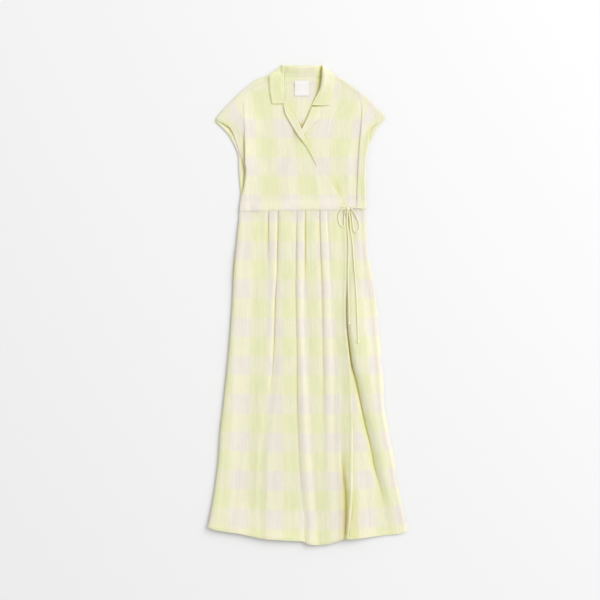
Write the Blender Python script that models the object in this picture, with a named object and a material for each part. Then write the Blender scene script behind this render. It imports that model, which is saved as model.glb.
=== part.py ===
"""Wrap dress with cap sleeves in checked cotton gauze, laid face up on a flat surface.

Axes: +X to the viewer's right, +Y towards the neck, +Z up from the surface.
The origin is on the surface, under the middle of the dress.
Every table and constant is in millimetres, and the meshes are in metres.

Each cut piece is a closed wall of cloth. The pieces are laid down one after
another on a height map of the pile, as a maker lays them on a table: the
underside of a piece follows what lies beneath it, a seam gap above it, plus
the piece's own folds.
"""
import math

import bpy
import bmesh
import numpy as np

OBJECT_NAME = "wrap_dress"
MM = 0.001

CLOTH = 1.2          # wall of every cut piece
LABEL_WALL = 1.0
GAP = 0.3            # between neighbouring pieces, and between layers
CELL = 2.0           # raster of the height map
TIE = 4.6            # diameter of the rouleau tie
TAIL_STEP = 10.0     # spacing of the points along a hanging tail of the tie
BEND_STEP = 6.0      # and along a loop or a strap, which bends more

WAIST_Y = 262.0      # waist seam at the left side; it rises to the right
WAIST_RISE = 6.0


def table(columns, *rows):
    """A short table: a name for each column, a tuple for each row."""
    data = np.array(rows, dtype=float)
    return {name: data[:, i] for i, name in enumerate(columns.split())}


# Half-width stations of the skirt, from the waist seam to the hem.
SKIRT_SIDES = table(
    "y      left    right",
    (268.0, -187.0, 165.5),
    (222.0, -192.0, 166.0),
    (150.0, -199.0, 170.0),
    (80.0, -205.0, 183.0),
    (0.0, -209.0, 195.0),
    (-99.0, -216.0, 204.5),
    (-197.0, -225.0, 212.5),
    (-284.0, -234.5, 217.5),
    (-362.0, -243.0, 230.0),
    (-441.0, -248.5, 245.5),
    (-519.0, -258.5, 257.5),
    (-589.0, -270.0, 272.5),
    (-622.0, -277.5, 279.0),
)

# The hem, seen from above, with the step that the second pleat leaves in it.
HEM = table(
    "x       y",
    (-277.5, -622.0),
    (-250.0, -632.5),
    (-191.0, -641.0),
    (-123.0, -655.0),
    (-84.0, -659.0),
    (-11.0, -663.0),
    (3.0, -670.5),
    (33.0, -673.5),
    (66.0, -669.5),
    (88.0, -663.0),
    (106.0, -655.0),
    (139.0, -655.5),
    (174.0, -650.0),
    (216.0, -645.5),
    (259.0, -641.5),
    (279.0, -634.0),
)

# Pressed pleats of the front skirt: both edges of the raised band, the width
# of the slope outside each edge, and the height of the band.
PLEAT_ONE = table(
    "y      left    right   rise  fall  height",
    (268.0, -105.5, -79.5, 5.0, 5.0, 2.5),
    (190.0, -105.5, -80.0, 5.0, 5.0, 5.0),
    (94.0, -110.0, -85.5, 12.0, 5.0, 5.0),
    (-29.0, -112.0, -87.0, 16.0, 6.0, 4.5),
    (-150.0, -117.0, -92.5, 18.0, 7.0, 4.0),
    (-267.0, -126.0, -103.5, 20.0, 8.0, 4.0),
    (-407.0, -137.0, -114.0, 22.0, 10.0, 4.0),
    (-497.0, -145.0, -121.0, 24.0, 12.0, 3.0),
    (-680.0, -160.0, -134.0, 26.0, 20.0, 1.5),
)
PLEAT_TWO = table(
    "y      left    right   rise  fall  height",
    (268.0, -25.0, -2.0, 5.0, 5.0, 2.5),
    (190.0, -25.5, -2.0, 5.0, 5.0, 5.5),
    (113.0, -25.5, 0.0, 5.0, 8.0, 6.0),
    (-29.0, -28.5, 4.0, 5.0, 14.0, 6.0),
    (-206.0, -26.5, 8.0, 5.0, 18.0, 5.5),
    (-301.0, -23.0, 12.0, 5.0, 20.0, 5.0),
    (-441.0, -16.0, 18.0, 6.0, 20.0, 5.5),
    (-547.0, -9.0, 27.0, 6.0, 20.0, 6.5),
    (-680.0, 2.0, 38.0, 6.0, 22.0, 8.0),
)
PLEAT_THREE = table(
    "y      left    right   rise  fall  height",
    (268.0, 38.5, 53.0, 5.0, 6.0, 2.5),
    (190.0, 38.5, 55.0, 5.0, 8.0, 5.0),
    (80.0, 41.5, 61.0, 5.0, 9.0, 5.5),
    (-29.0, 45.5, 66.0, 5.0, 10.0, 5.5),
    (-206.0, 52.0, 73.0, 5.0, 11.0, 5.0),
    (-301.0, 54.0, 76.0, 5.0, 11.0, 4.5),
    (-407.0, 57.5, 79.0, 6.0, 11.0, 4.0),
    (-547.0, 64.5, 85.0, 7.0, 11.0, 3.0),
    (-680.0, 70.0, 89.0, 9.0, 11.0, 2.0),
)

# Free edge of the over skirt, with the valley beside it and how far it curls.
OVER_EDGE = table(
    "y      x       valley  curl",
    (272.0, 110.5, 14.0, 0.0),
    (100.0, 111.5, 14.0, 1.0),
    (12.0, 112.0, 14.0, 1.5),
    (-57.0, 116.0, 14.0, 2.0),
    (-169.0, 120.5, 14.0, 2.5),
    (-279.0, 123.0, 15.0, 3.0),
    (-382.0, 128.0, 17.0, 4.0),
    (-533.0, 128.0, 19.0, 6.5),
    (-598.0, 123.0, 18.0, 7.5),
    (-660.0, 114.5, 14.0, 8.0),
)

# Fold of the under skirt that runs out from beneath the over skirt's edge.
UNDER_FOLD = table(
    "y      x       height",
    (272.0, 150.0, 1.5),
    (190.0, 138.0, 1.5),
    (100.0, 124.0, 1.0),
    (10.0, 113.0, 2.0),
    (-60.0, 113.0, 5.0),
    (-155.0, 123.0, 7.0),
    (-237.0, 144.5, 8.0),
    (-309.0, 162.5, 8.0),
    (-433.0, 184.0, 7.5),
    (-517.0, 213.0, 5.5),
    (-581.0, 236.0, 2.0),
    (-660.0, 252.0, 0.5),
)

# Outline of the back bodice, from the waist seam up to the shoulder points.
BACK_SIDES = table(
    "y      left    right",
    (262.0, -187.5, 166.5),
    (298.0, -187.0, 165.5),
    (346.0, -189.5, 163.0),
    (382.0, -193.0, 164.0),
    (414.0, -195.0, 166.5),
    (430.0, -203.0, 169.0),
    (452.0, -215.5, 175.5),
    (476.0, -231.5, 188.0),
    (498.0, -246.5, 202.5),
    (514.0, -256.5, 215.0),
    (524.0, -250.0, 219.5),
    (544.0, -233.5, 200.5),
    (567.0, -211.0, 179.0),
    (597.0, -179.5, 145.0),
    (620.0, -151.0, 111.0),
    (645.0, -101.0, 73.0),
)

# Outline of the two front bodices: armhole and shoulder on the outer side.
FRONT_SIDES = table(
    "y      left    right",
    (262.0, -187.5, 166.0),
    (300.0, -185.0, 164.5),
    (315.0, -179.5, 163.5),
    (346.0, -174.5, 162.5),
    (376.0, -173.0, 163.0),
    (409.0, -177.5, 163.5),
    (423.0, -184.5, 165.0),
    (447.0, -194.0, 167.5),
    (469.0, -204.5, 171.5),
    (486.0, -213.0, 177.0),
    (499.0, -223.0, 182.0),
    (508.0, -236.0, 188.5),
    (515.0, -252.0, 198.0),
    (521.0, -252.5, 212.0),
    (526.0, -248.5, 217.5),
    (544.0, -233.5, 200.5),
    (567.0, -211.0, 179.0),
    (597.0, -179.5, 145.0),
    (620.0, -151.0, 111.0),
    (645.0, -101.0, 73.0),
)

# Wrap edge of the over front: plain below, rolled to a lapel above. The under
# front is cut as its mirror image about the middle of the neck.
NECK_MIDDLE = -14.0
WRAP_EDGE = table(
    "y      x",
    (262.0, 108.0),
    (284.0, 100.5),
    (312.0, 84.0),
    (355.0, 57.5),
    (377.0, 36.5),
    (396.0, 26.0),
    (463.0, -3.0),
    (492.0, -14.5),
    (528.0, -34.5),
    (556.0, -51.5),
    (579.0, -67.0),
    (600.0, -72.0),
    (645.0, -84.0),
)

# Drape folds of the bodice, beside the armholes: the line of the fold edge.
LEFT_DRAPE = table(
    "y      x        height",
    (262.0, -172.0, 0.5),
    (300.0, -166.0, 1.5),
    (376.0, -165.0, 3.0),
    (443.0, -174.5, 6.0),
    (515.0, -179.0, 5.0),
    (550.0, -179.5, 2.5),
    (575.0, -178.0, 0.0),
    (645.0, -92.0, 0.0),
)
RIGHT_DRAPE = table(
    "y      x       height",
    (262.0, 137.0, 3.0),
    (298.0, 140.0, 4.5),
    (359.0, 142.5, 5.5),
    (407.0, 143.5, 6.0),
    (455.0, 146.0, 6.0),
    (503.0, 151.0, 5.0),
    (548.0, 154.5, 2.5),
    (575.0, 150.0, 0.0),
    (645.0, 62.0, 0.0),
)

# Lapels: the facing turned out, from the collar seam down to where it ends.
LAPEL_OVER = table(
    "y      roll    outer",
    (559.0, -54.0, -66.0),
    (536.0, -40.0, -63.0),
    (514.0, -27.5, -51.5),
    (480.0, -11.0, -31.5),
    (441.0, 5.5, -3.5),
    (402.0, 22.5, 18.0),
    (390.0, 28.0, 25.5),
)
LAPEL_UNDER = table(
    "y      roll    outer",
    (553.0, 13.5, 36.5),
    (522.0, 1.0, 36.0),
    (505.0, -7.5, 19.5),
    (485.0, -17.5, 1.0),
    (470.0, -24.0, -10.0),
    (446.0, -34.0, -27.0),
)

# Collar leaves, lying on the fronts: roll line and free edge.
LEAF_LEFT = table(
    "y      roll    outer",
    (670.0, -66.5, -71.0),
    (655.0, -66.0, -87.5),
    (638.0, -65.5, -105.5),
    (605.0, -64.5, -104.5),
    (580.0, -64.0, -100.5),
    (562.0, -64.5, -97.5),
)
LEAF_RIGHT = table(
    "y      roll    outer",
    (670.0, 43.5, 44.5),
    (655.0, 42.5, 63.5),
    (638.0, 41.5, 79.0),
    (612.0, 38.0, 77.5),
    (587.0, 32.5, 74.5),
    (557.0, 31.0, 66.0),
)
LEAF_ROLL_HEIGHT = 5.0

# Inner side of the collar across the back neck, and its fall underneath.
STAND_TOP = table("x  y", (-66.0, 669.0), (-40.0, 667.5), (-13.0, 666.5), (15.0, 667.5), (42.0, 669.0))
STAND_DEPTH = 29.0
BACK_NECK_Y = 640.0
BACK_NECK_RISE = 6.0
FALL_DEPTH = 44.0

LABEL_CENTRE = (-14.5, 605.5)
LABEL_SIZE = (40.0, 43.0)

POCKET_TOP = 152.0
POCKET_LENGTH = 90.0
POCKET_WIDTH = 10.0

# Tie: the knot, then the routes of the loops, tails and straps that leave it.
KNOT_CENTRE = (114.2, 267.0)
KNOT_SIZE = (15.2, 11.2, 7.5)
END_KNOT = 7.0
TIE_ROUTES = {
    "tie_loop_left": ((105.9, 267.6), (98.0, 265.0), (90.5, 256.0), (87.5, 243.0), (90.0, 229.0),
                      (96.5, 219.0), (102.5, 219.0), (104.6, 230.0), (104.4, 245.0), (106.8, 262.6)),
    "tie_loop_right": ((123.4, 267.2), (132.0, 257.5), (139.5, 243.0), (145.5, 226.0), (146.0, 211.0),
                       (140.0, 202.0), (133.5, 203.0), (129.3, 213.0), (127.4, 232.0), (125.0, 249.0),
                       (121.6, 262.0)),
    "tie_tail_one": ((111.5, 260.6), (112.0, 245.0), (112.4, 220.0), (115.6, 185.0), (116.6, 150.0),
                     (115.2, 110.0), (114.8, 80.0), (116.0, 30.0), (117.4, -20.0), (117.6, -49.0)),
    "tie_tail_two": ((116.7, 260.6), (119.4, 240.0), (121.2, 215.0), (123.6, 198.0), (127.8, 170.0),
                     (130.6, 130.0), (133.4, 95.0), (136.2, 60.0), (138.2, 20.0), (140.2, -30.0),
                     (141.6, -70.0), (142.2, -101.0)),
    "tie_strap_over": ((97.0, 271.5), (101.0, 273.0), (105.5, 272.4)),
    "tie_strap_side": ((154.0, 269.0), (146.0, 270.4), (136.0, 271.2), (128.0, 271.6), (121.0, 271.6)),
}
END_KNOTS = {"tie_end_one": "tie_tail_one", "tie_end_two": "tie_tail_two"}

CHECK_LIGHT = (0.86, 0.80, 0.76)
CHECK_GREEN = (0.80, 0.84, 0.50)
CHECK_CREAM = (0.86, 0.84, 0.60)
TIE_YELLOW = (0.84, 0.82, 0.56)
LABEL_WHITE = (0.90, 0.89, 0.87)


def smooth_read(tab, column, where, key="y"):
    """Read a column at any station: a cubic through the rows, without overshoot."""
    order = np.argsort(tab[key])
    xs = tab[key][order]
    ys = tab[column][order]
    step = np.diff(xs)
    slope = np.diff(ys) / step
    together = slope[:-1] * slope[1:] > 0
    tangent = np.zeros_like(ys)
    pair = np.where(together, slope[:-1] + slope[1:], 1.0)
    tangent[1:-1] = np.where(together, 2 * slope[:-1] * slope[1:] / pair, 0.0)
    tangent[0] = slope[0]
    tangent[-1] = slope[-1]
    at = np.clip(np.asarray(where, dtype=float), xs[0], xs[-1])
    i = np.clip(np.searchsorted(xs, at) - 1, 0, len(step) - 1)
    t = (at - xs[i]) / step[i]
    ends = ys[i] * (1 + 2 * t) * (1 - t) ** 2 + ys[i + 1] * t * t * (3 - 2 * t)
    bends = tangent[i] * t * (1 - t) ** 2 + tangent[i + 1] * t * t * (t - 1)
    return ends + bends * step[i]


def reader(tab, column, shift=0.0):
    """A column line: x as a function of y."""
    return lambda y: smooth_read(tab, column, y) + shift


def between(first, second, count):
    """Column lines evenly spaced strictly between two others."""
    return [lambda y, k=k: first(y) + (second(y) - first(y)) * k / (count + 1)
            for k in range(1, count + 1)]


def waist(x):
    """The waist seam, which rises a little to the right."""
    left, right = SKIRT_SIDES["left"][0], SKIRT_SIDES["right"][0]
    return WAIST_Y + WAIST_RISE * (x - left) / (right - left)


def ramp(x, start, width):
    """0 before start, 1 after start + width, straight between."""
    return np.clip((x - start) / width, 0.0, 1.0)


def fade(distance, reach):
    """1 at no distance, falling softly to 0 at reach."""
    t = np.clip(1.0 - distance / reach, 0.0, 1.0)
    return t * t * (3 - 2 * t)


class Pile:
    """Height of everything laid down so far, on a square raster."""

    LOW = (-310.0, -710.0)
    COUNT = (310, 710)

    def __init__(self):
        self.height = np.zeros(self.COUNT)

    def cell(self, x, y):
        i = np.floor((np.asarray(x) - self.LOW[0]) / CELL).astype(int)
        j = np.floor((np.asarray(y) - self.LOW[1]) / CELL).astype(int)
        return i, j

    def highest(self, xs, ys):
        """Highest point in the box around some points, one cell wider all round."""
        i, j = self.cell((np.min(xs), np.max(xs)), (np.min(ys), np.max(ys)))
        return self.height[i[0] - 1:i[1] + 2, j[0] - 1:j[1] + 2].max()

    def support(self, x, y):
        """For each grid point, the highest point under all the faces that meet there."""
        wide_x = np.pad(x, 1, mode="edge")
        wide_y = np.pad(y, 1, mode="edge")
        result = np.zeros_like(x)
        for r, c in np.ndindex(x.shape):
            result[r, c] = self.highest(wide_x[r:r + 3, c:c + 3], wide_y[r:r + 3, c:c + 3])
        return result

    def lay(self, points):
        """Add a surface, given as a grid of points, by sampling both triangles of each face."""
        a, b = points[:-1, :-1], points[:-1, 1:]
        d, c = points[1:, :-1], points[1:, 1:]
        widest = max(np.abs(b - a)[..., :2].max(), np.abs(d - a)[..., :2].max())
        shares = np.linspace(0.0, 1.0, int(2 * widest / CELL) + 2)
        for s in shares:
            for t in shares:
                if t <= s:
                    spot = a + s * (b - a) + t * (c - b)
                else:
                    spot = a + t * (d - a) + s * (c - d)
                i, j = self.cell(spot[..., 0], spot[..., 1])
                np.maximum.at(self.height, (i, j), spot[..., 2])


def material(name, colour, roughness):
    mat = bpy.data.materials.new(name)
    mat.use_nodes = True
    shader = mat.node_tree.nodes["Principled BSDF"]
    shader.inputs["Base Color"].default_value = (*colour, 1.0)
    shader.inputs["Roughness"].default_value = roughness
    shader.inputs["Metallic"].default_value = 0.0
    return mat


def wall(name, collection, mat, lower, upper):
    """Closed solid between two grids of points, joined round their rims."""
    rows, columns = lower.shape[:2]
    count = rows * columns
    grid = np.arange(count).reshape(rows, columns)
    a, b = grid[:-1, :-1].ravel(), grid[:-1, 1:].ravel()
    d, c = grid[1:, :-1].ravel(), grid[1:, 1:].ravel()
    top = np.concatenate((np.stack((a, b, c), 1), np.stack((a, c, d), 1)))
    bottom = top[:, ::-1] + count
    rim = np.concatenate((grid[0, :-1], grid[:-1, -1], grid[-1, :0:-1], grid[:0:-1, 0]))
    after = np.roll(rim, -1)
    side = np.concatenate((np.stack((after, rim, rim + count), 1),
                           np.stack((after, rim + count, after + count), 1)))
    points = np.concatenate((upper.reshape(-1, 3), lower.reshape(-1, 3))) * MM
    mesh = bpy.data.meshes.new(name)
    mesh.from_pydata(points.tolist(), [], np.concatenate((top, bottom, side)).tolist())
    work = bmesh.new()
    work.from_mesh(mesh)
    if work.calc_volume(signed=True) < 0:
        bmesh.ops.reverse_faces(work, faces=work.faces)
    work.to_mesh(mesh)
    work.free()
    mesh.shade_smooth()
    mesh.set_sharp_from_angle(angle=math.radians(50))
    mesh.materials.append(mat)
    obj = bpy.data.objects.new(name, mesh)
    collection.objects.link(obj)
    return obj


def lay_piece(name, collection, mat, pile, x, y, fold, thickness=CLOTH):
    """Lay one cut piece: x and y are its grid, fold is its own height above the pile."""
    support = pile.support(x, y)
    lower_z = fold + np.where(support > 0.0, support + GAP, 0.0)
    across = np.maximum(np.abs(np.gradient(x, axis=1)), 1.0)
    slope = np.minimum(np.abs(np.gradient(lower_z, axis=1)) / across, 1.5)
    upper_z = lower_z + thickness * np.sqrt(1.0 + slope ** 2)
    upper = np.stack((x, y, upper_z), -1)
    pile.lay(upper)
    return wall(name, collection, mat, np.stack((x, y, lower_z), -1), upper)


def grid_by_share(lines, shares, top, foot):
    """Rows at equal shares of the way from one edge to another, along each column line."""
    columns_x = []
    columns_y = []
    for line in lines:
        y = top(0.0) + (foot(0.0) - top(0.0)) * shares
        for _ in range(4):
            x = line(y)
            y = top(x) + (foot(x) - top(x)) * shares
        columns_x.append(x)
        columns_y.append(y)
    return np.stack(columns_x, 1), np.stack(columns_y, 1)


def grid_by_rows(lines, rows):
    """Straight rows, one for each height."""
    x = np.stack([line(rows) for line in lines], 1)
    return x, np.repeat(rows[:, None], x.shape[1], axis=1)


# ---- skirt ----------------------------------------------------------------

SKIRT_ROWS = np.array((0.0, 0.012, 0.03, 0.055, 0.085, 0.12, 0.16, 0.20, 0.245, 0.29, 0.34, 0.39, 0.44,
                       0.49, 0.54, 0.59, 0.64, 0.69, 0.74, 0.79, 0.84, 0.89, 0.94, 0.975, 1.0))
BACK_ROWS = SKIRT_ROWS[::2]
HEM_TUCK = 2.0        # the back hem ends this much above the front one
HIDDEN_OVERLAP = (-134.0, -143.0)    # under skirt's free edge, at the waist and at the hem


def hem(x):
    return smooth_read(HEM, "y", x, key="x")


def skirt_grid(lines, shares, tuck=0.0):
    return grid_by_share(lines, shares, lambda x: waist(x) - GAP / 2, lambda x: hem(x) + tuck)


def band(x, y, pleat):
    """Height of one pressed pleat: a flat band with a slope on each side."""
    left, right = smooth_read(pleat, "left", y), smooth_read(pleat, "right", y)
    rise, fall = smooth_read(pleat, "rise", y), smooth_read(pleat, "fall", y)
    return smooth_read(pleat, "height", y) * ramp(x, left - rise, rise) * (1 - ramp(x, right, fall))


def band_lines(pleat):
    left, right = reader(pleat, "left"), reader(pleat, "right")
    foot_left = lambda y: left(y) - smooth_read(pleat, "rise", y)
    foot_right = lambda y: right(y) + smooth_read(pleat, "fall", y)
    return [foot_left, left, *between(left, right, 1), right, foot_right]


def skirt_back(collection, mat, pile):
    left, right = reader(SKIRT_SIDES, "left"), reader(SKIRT_SIDES, "right")
    x, y = skirt_grid([left, *between(left, right, 5), right], BACK_ROWS, HEM_TUCK)
    lay_piece("skirt_back", collection, mat, pile, x, y, 0.0 * x)


def pocket_mouth(collection, mat, pile):
    """The turned edge of the pocket, which shows in the left side seam."""
    rows = np.linspace(POCKET_TOP, POCKET_TOP - POCKET_LENGTH, 6)
    outer, inner = reader(SKIRT_SIDES, "left", -1.5), reader(SKIRT_SIDES, "left", POCKET_WIDTH - 1.5)
    x, y = grid_by_rows([outer, *between(outer, inner, 1), inner], rows)
    lay_piece("pocket_mouth", collection, mat, pile, x, y, 0.0 * x)


def skirt_under(collection, mat, pile):
    """Right front of the skirt: one long fold that opens out towards the hem."""
    free = lambda y: np.interp(y, (hem(0.0), WAIST_Y), HIDDEN_OVERLAP[::-1])
    crest = reader(UNDER_FOLD, "x")
    foot = reader(UNDER_FOLD, "x", 5.0)
    side = reader(SKIRT_SIDES, "right")
    near = lambda y: crest(y) - 22.0
    lines = [free, *between(free, near, 5), near, *between(near, crest, 2), crest, foot,
             *between(foot, side, 4), side]
    x, y = skirt_grid(lines, SKIRT_ROWS)
    line_x = smooth_read(UNDER_FOLD, "x", y)
    height = smooth_read(UNDER_FOLD, "height", y)
    beside = np.maximum(x - line_x - 5.0, 0.0)
    left_side = fade(line_x - x, 60.0) * (1 - ramp(x, line_x, 5.0))
    swell = np.sin(np.pi * np.clip(beside / np.maximum(smooth_read(SKIRT_SIDES, "right", y) - line_x - 5.0, 1.0),
                                   0.0, 1.0))
    lay_piece("skirt_under", collection, mat, pile, x, y, height * left_side + 0.3 * height * swell)


def skirt_over(collection, mat, pile):
    """Left front of the skirt: three pressed pleats, and a free edge that curls up."""
    side, edge = reader(SKIRT_SIDES, "left"), reader(OVER_EDGE, "x")
    valley = lambda y: edge(y) - smooth_read(OVER_EDGE, "valley", y)
    one, two, three = (band_lines(pleat) for pleat in (PLEAT_ONE, PLEAT_TWO, PLEAT_THREE))
    lines = [side, *between(side, one[0], 3), *one, *between(one[-1], two[0], 1), *two,
             *between(two[-1], three[0], 1), *three, *between(three[-1], valley, 1), valley,
             *between(valley, edge, 1), edge]
    x, y = skirt_grid(lines, SKIRT_ROWS)
    fold = sum(band(x, y, pleat) for pleat in (PLEAT_ONE, PLEAT_TWO, PLEAT_THREE))
    edge_x = smooth_read(OVER_EDGE, "x", y)
    curl = smooth_read(OVER_EDGE, "curl", y) * ramp(x, edge_x - smooth_read(OVER_EDGE, "valley", y),
                                                    smooth_read(OVER_EDGE, "valley", y)) ** 2
    lay_piece("skirt_over", collection, mat, pile, x, y, fold + curl)


# ---- bodice ---------------------------------------------------------------

BODICE_ROWS = np.array((262.0, 272.0, 298.0, 322.0, 346.0, 376.0, 396.0, 409.0, 423.0, 435.0, 447.0, 458.0,
                        469.0, 478.0, 486.0, 493.0, 499.0, 504.0, 508.0, 512.0, 515.0, 518.0, 521.0, 526.0,
                        535.0, 544.0, 555.0, 567.0, 582.0, 597.0, 609.0, 620.0, 632.0, 645.0))
DRAPE_EDGE = 5.0      # width of the steep side of a drape fold
DRAPE_REACH = 45.0    # width of its soft side


def bodice_grid(lines, rows, neck_rise=0.0):
    """Level rows that tilt to the waist seam at the foot and curve to the neck at the top."""
    x, y = grid_by_rows(lines, rows)
    low = fade(y - rows[0], 60.0)
    high = ramp(y, rows[-1] - 40.0, 40.0)
    neck = ((x - NECK_MIDDLE) / 90.0) ** 2
    return x, y + low * (waist(x) + GAP / 2 - WAIST_Y) + high * neck_rise * (neck - 1.0)


def bodice_back(collection, mat, pile):
    left, right = reader(BACK_SIDES, "left"), reader(BACK_SIDES, "right")
    x, y = bodice_grid([left, *between(left, right, 7), right], BODICE_ROWS, BACK_NECK_RISE)
    lay_piece("bodice_back", collection, mat, pile, x, y, 0.0 * x)


def drape(x, y, tab, over):
    """Fold beside an armhole: steep towards the sleeve, soft towards the middle."""
    away = (x - smooth_read(tab, "x", y)) * over
    return smooth_read(tab, "height", y) * fade(away, DRAPE_REACH) * ramp(away, -DRAPE_EDGE, DRAPE_EDGE)


def bodice_front_over(collection, mat, pile):
    side, edge = reader(FRONT_SIDES, "left"), reader(WRAP_EDGE, "x")
    foot, crest = reader(LEFT_DRAPE, "x", -DRAPE_EDGE), reader(LEFT_DRAPE, "x")
    x, y = bodice_grid([side, *between(side, foot, 1), foot, crest, *between(crest, edge, 6), edge],
                       BODICE_ROWS)
    lay_piece("bodice_front_over", collection, mat, pile, x, y, drape(x, y, LEFT_DRAPE, 1.0))


def bodice_front_under(collection, mat, pile):
    side = reader(FRONT_SIDES, "right")
    edge = lambda y: 2 * NECK_MIDDLE - smooth_read(WRAP_EDGE, "x", y)
    foot, crest = reader(RIGHT_DRAPE, "x", DRAPE_EDGE), reader(RIGHT_DRAPE, "x")
    x, y = bodice_grid([edge, *between(edge, crest, 6), crest, foot, *between(foot, side, 1), side],
                       BODICE_ROWS)
    lay_piece("bodice_front_under", collection, mat, pile, x, y, drape(x, y, RIGHT_DRAPE, -1.0))


# ---- collar, lapels and label ----------------------------------------------

def turned_strip(name, collection, mat, pile, tab, rows, roll_height, roll_width, columns=4):
    """Cloth turned out over a roll line: it stands a little proud where it rolls."""
    roll, outer = reader(tab, "roll"), reader(tab, "outer")
    x, y = grid_by_rows([roll, *between(roll, outer, columns), outer], rows)
    narrow = np.minimum(np.abs(outer(y) - roll(y)) / (2 * roll_width), 1.0)
    lift = roll_height * narrow * fade(np.abs(x - roll(y)), roll_width)
    lay_piece(name, collection, mat, pile, x, y, lift)


def lapels(collection, mat, pile, name, tab):
    rows = np.linspace(tab["y"].max(), tab["y"].min(), 12)
    turned_strip(name, collection, mat, pile, tab, rows, 1.5, 12.0, 3)


def collar_leaves(collection, mat, pile):
    for name, tab in (("collar_leaf_left", LEAF_LEFT), ("collar_leaf_right", LEAF_RIGHT)):
        rows = np.linspace(tab["y"].max(), tab["y"].min(), 12)
        turned_strip(name, collection, mat, pile, tab, rows, LEAF_ROLL_HEIGHT, 16.0, 4)


def collar_fall(collection, mat, pile):
    """The back of the collar's fall, folded down under the back neck."""
    rows = np.linspace(STAND_TOP["y"].max(), STAND_TOP["y"].max() - FALL_DEPTH, 6)
    left, right = reader(BACK_SIDES, "left", 4.0), reader(BACK_SIDES, "right", -4.0)
    corner_left, corner_right = reader(LEAF_LEFT, "outer", 3.0), reader(LEAF_RIGHT, "outer", -3.0)
    left_line = lambda y: np.where(y > 638.0, corner_left(y), np.maximum(left(y), corner_left(y)))
    right_line = lambda y: np.where(y > 638.0, corner_right(y), np.minimum(right(y), corner_right(y)))
    x, y = grid_by_rows([left_line, *between(left_line, right_line, 5), right_line], rows)
    lay_piece("collar_fall", collection, mat, pile, x, y, 0.0 * x)


def collar_stand(collection, mat, pile):
    """Inner side of the collar, from its roll across the back neck down to the neck seam."""
    across = np.linspace(STAND_TOP["x"][0], STAND_TOP["x"][-1], 12)
    shares = np.linspace(0.0, 1.0, 6)
    top = smooth_read(STAND_TOP, "y", across, key="x")
    x = np.repeat(across[None, :], len(shares), axis=0)
    y = top[None, :] - shares[:, None] * STAND_DEPTH
    lift = 3.0 * fade(shares * STAND_DEPTH, 14.0)
    lay_piece("collar_stand", collection, mat, pile, x, y, lift[:, None] + 0.0 * x)


def neck_label(collection, mat, pile):
    x, y = np.meshgrid(np.linspace(-0.5, 0.5, 3) * LABEL_SIZE[0] + LABEL_CENTRE[0],
                       np.linspace(0.5, -0.5, 3) * LABEL_SIZE[1] + LABEL_CENTRE[1])
    lay_piece("neck_label", collection, mat, pile, x, y, 0.0 * x, LABEL_WALL)


# ---- tie --------------------------------------------------------------------

TIE_SLOPE = 0.35      # steepest climb of a tie over what it crosses


def spline_points(route, step):
    """Points along a Catmull-Rom curve through the route, evenly spaced."""
    knots = np.array(route)
    ends = np.vstack((2 * knots[0] - knots[1], knots, 2 * knots[-1] - knots[-2]))
    t = np.linspace(0.0, 1.0, 20, endpoint=False)[:, None]
    fine = []
    for p0, p1, p2, p3 in zip(ends, ends[1:], ends[2:], ends[3:]):
        fine.append(0.5 * (2 * p1 + (p2 - p0) * t + (2 * p0 - 5 * p1 + 4 * p2 - p3) * t * t
                           + (3 * p1 - p0 - 3 * p2 + p3) * t ** 3))
    fine = np.vstack((*fine, knots[-1:]))
    run = np.concatenate(([0.0], np.cumsum(np.linalg.norm(np.diff(fine, axis=0), axis=1))))
    stations = np.linspace(0.0, run[-1], max(int(round(run[-1] / step)), 2) + 1)
    return np.stack([np.interp(stations, run, fine[:, k]) for k in range(2)], 1), stations


def tie_cord(name, collection, mat, pile, route):
    """A round tie laid along its route, on top of the cloth under it."""
    step = TAIL_STEP if "tail" in name else BEND_STEP
    points, stations = spline_points(route, step)
    reach = 0.5 * (step + TIE) + 1.0
    rest = [pile.highest((px - reach, px + reach), (py - reach, py + reach)) for px, py in points]
    climb = TIE_SLOPE * np.abs(stations[:, None] - stations[None, :])
    z = (np.array(rest)[None, :] - climb).max(axis=1) + GAP + TIE / 2
    curve = bpy.data.curves.new(name, "CURVE")
    curve.dimensions = "3D"
    curve.bevel_depth = TIE / 2 * MM
    curve.bevel_resolution = 2
    curve.use_fill_caps = True
    spline = curve.splines.new("POLY")
    spline.points.add(len(points) - 1)
    for spot, (px, py), pz in zip(spline.points, points, z):
        spot.co = (px * MM, py * MM, pz * MM, 1.0)
    curve.materials.append(mat)
    obj = bpy.data.objects.new(name, curve)
    collection.objects.link(obj)
    return np.column_stack((points, z))


def knot(name, collection, mat, pile, centre, size):
    """A tied knot: a small rounded solid that sits on the cloth."""
    half = np.array(size) / 2
    low = pile.highest((centre[0] - half[0], centre[0] + half[0]), (centre[1] - half[1], centre[1] + half[1]))
    mesh = bpy.data.meshes.new(name)
    work = bmesh.new()
    bmesh.ops.create_uvsphere(work, u_segments=16, v_segments=10, radius=1.0)
    bmesh.ops.scale(work, vec=tuple(half * MM), verts=work.verts)
    bmesh.ops.translate(work, vec=(centre[0] * MM, centre[1] * MM, (low + GAP + half[2]) * MM),
                        verts=work.verts)
    work.to_mesh(mesh)
    work.free()
    mesh.shade_smooth()
    mesh.materials.append(mat)
    collection.objects.link(bpy.data.objects.new(name, mesh))


def tie(collection, mat, pile):
    knot("tie_knot", collection, mat, pile, KNOT_CENTRE, KNOT_SIZE)
    paths = {name: tie_cord(name, collection, mat, pile, route) for name, route in TIE_ROUTES.items()}
    for name, tail in END_KNOTS.items():
        last, before = paths[tail][-1][:2], paths[tail][-2][:2]
        heading = (last - before) / np.linalg.norm(last - before)
        knot(name, collection, mat, pile, last + heading * (END_KNOT / 2 + 2 * GAP), (END_KNOT,) * 3)


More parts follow.
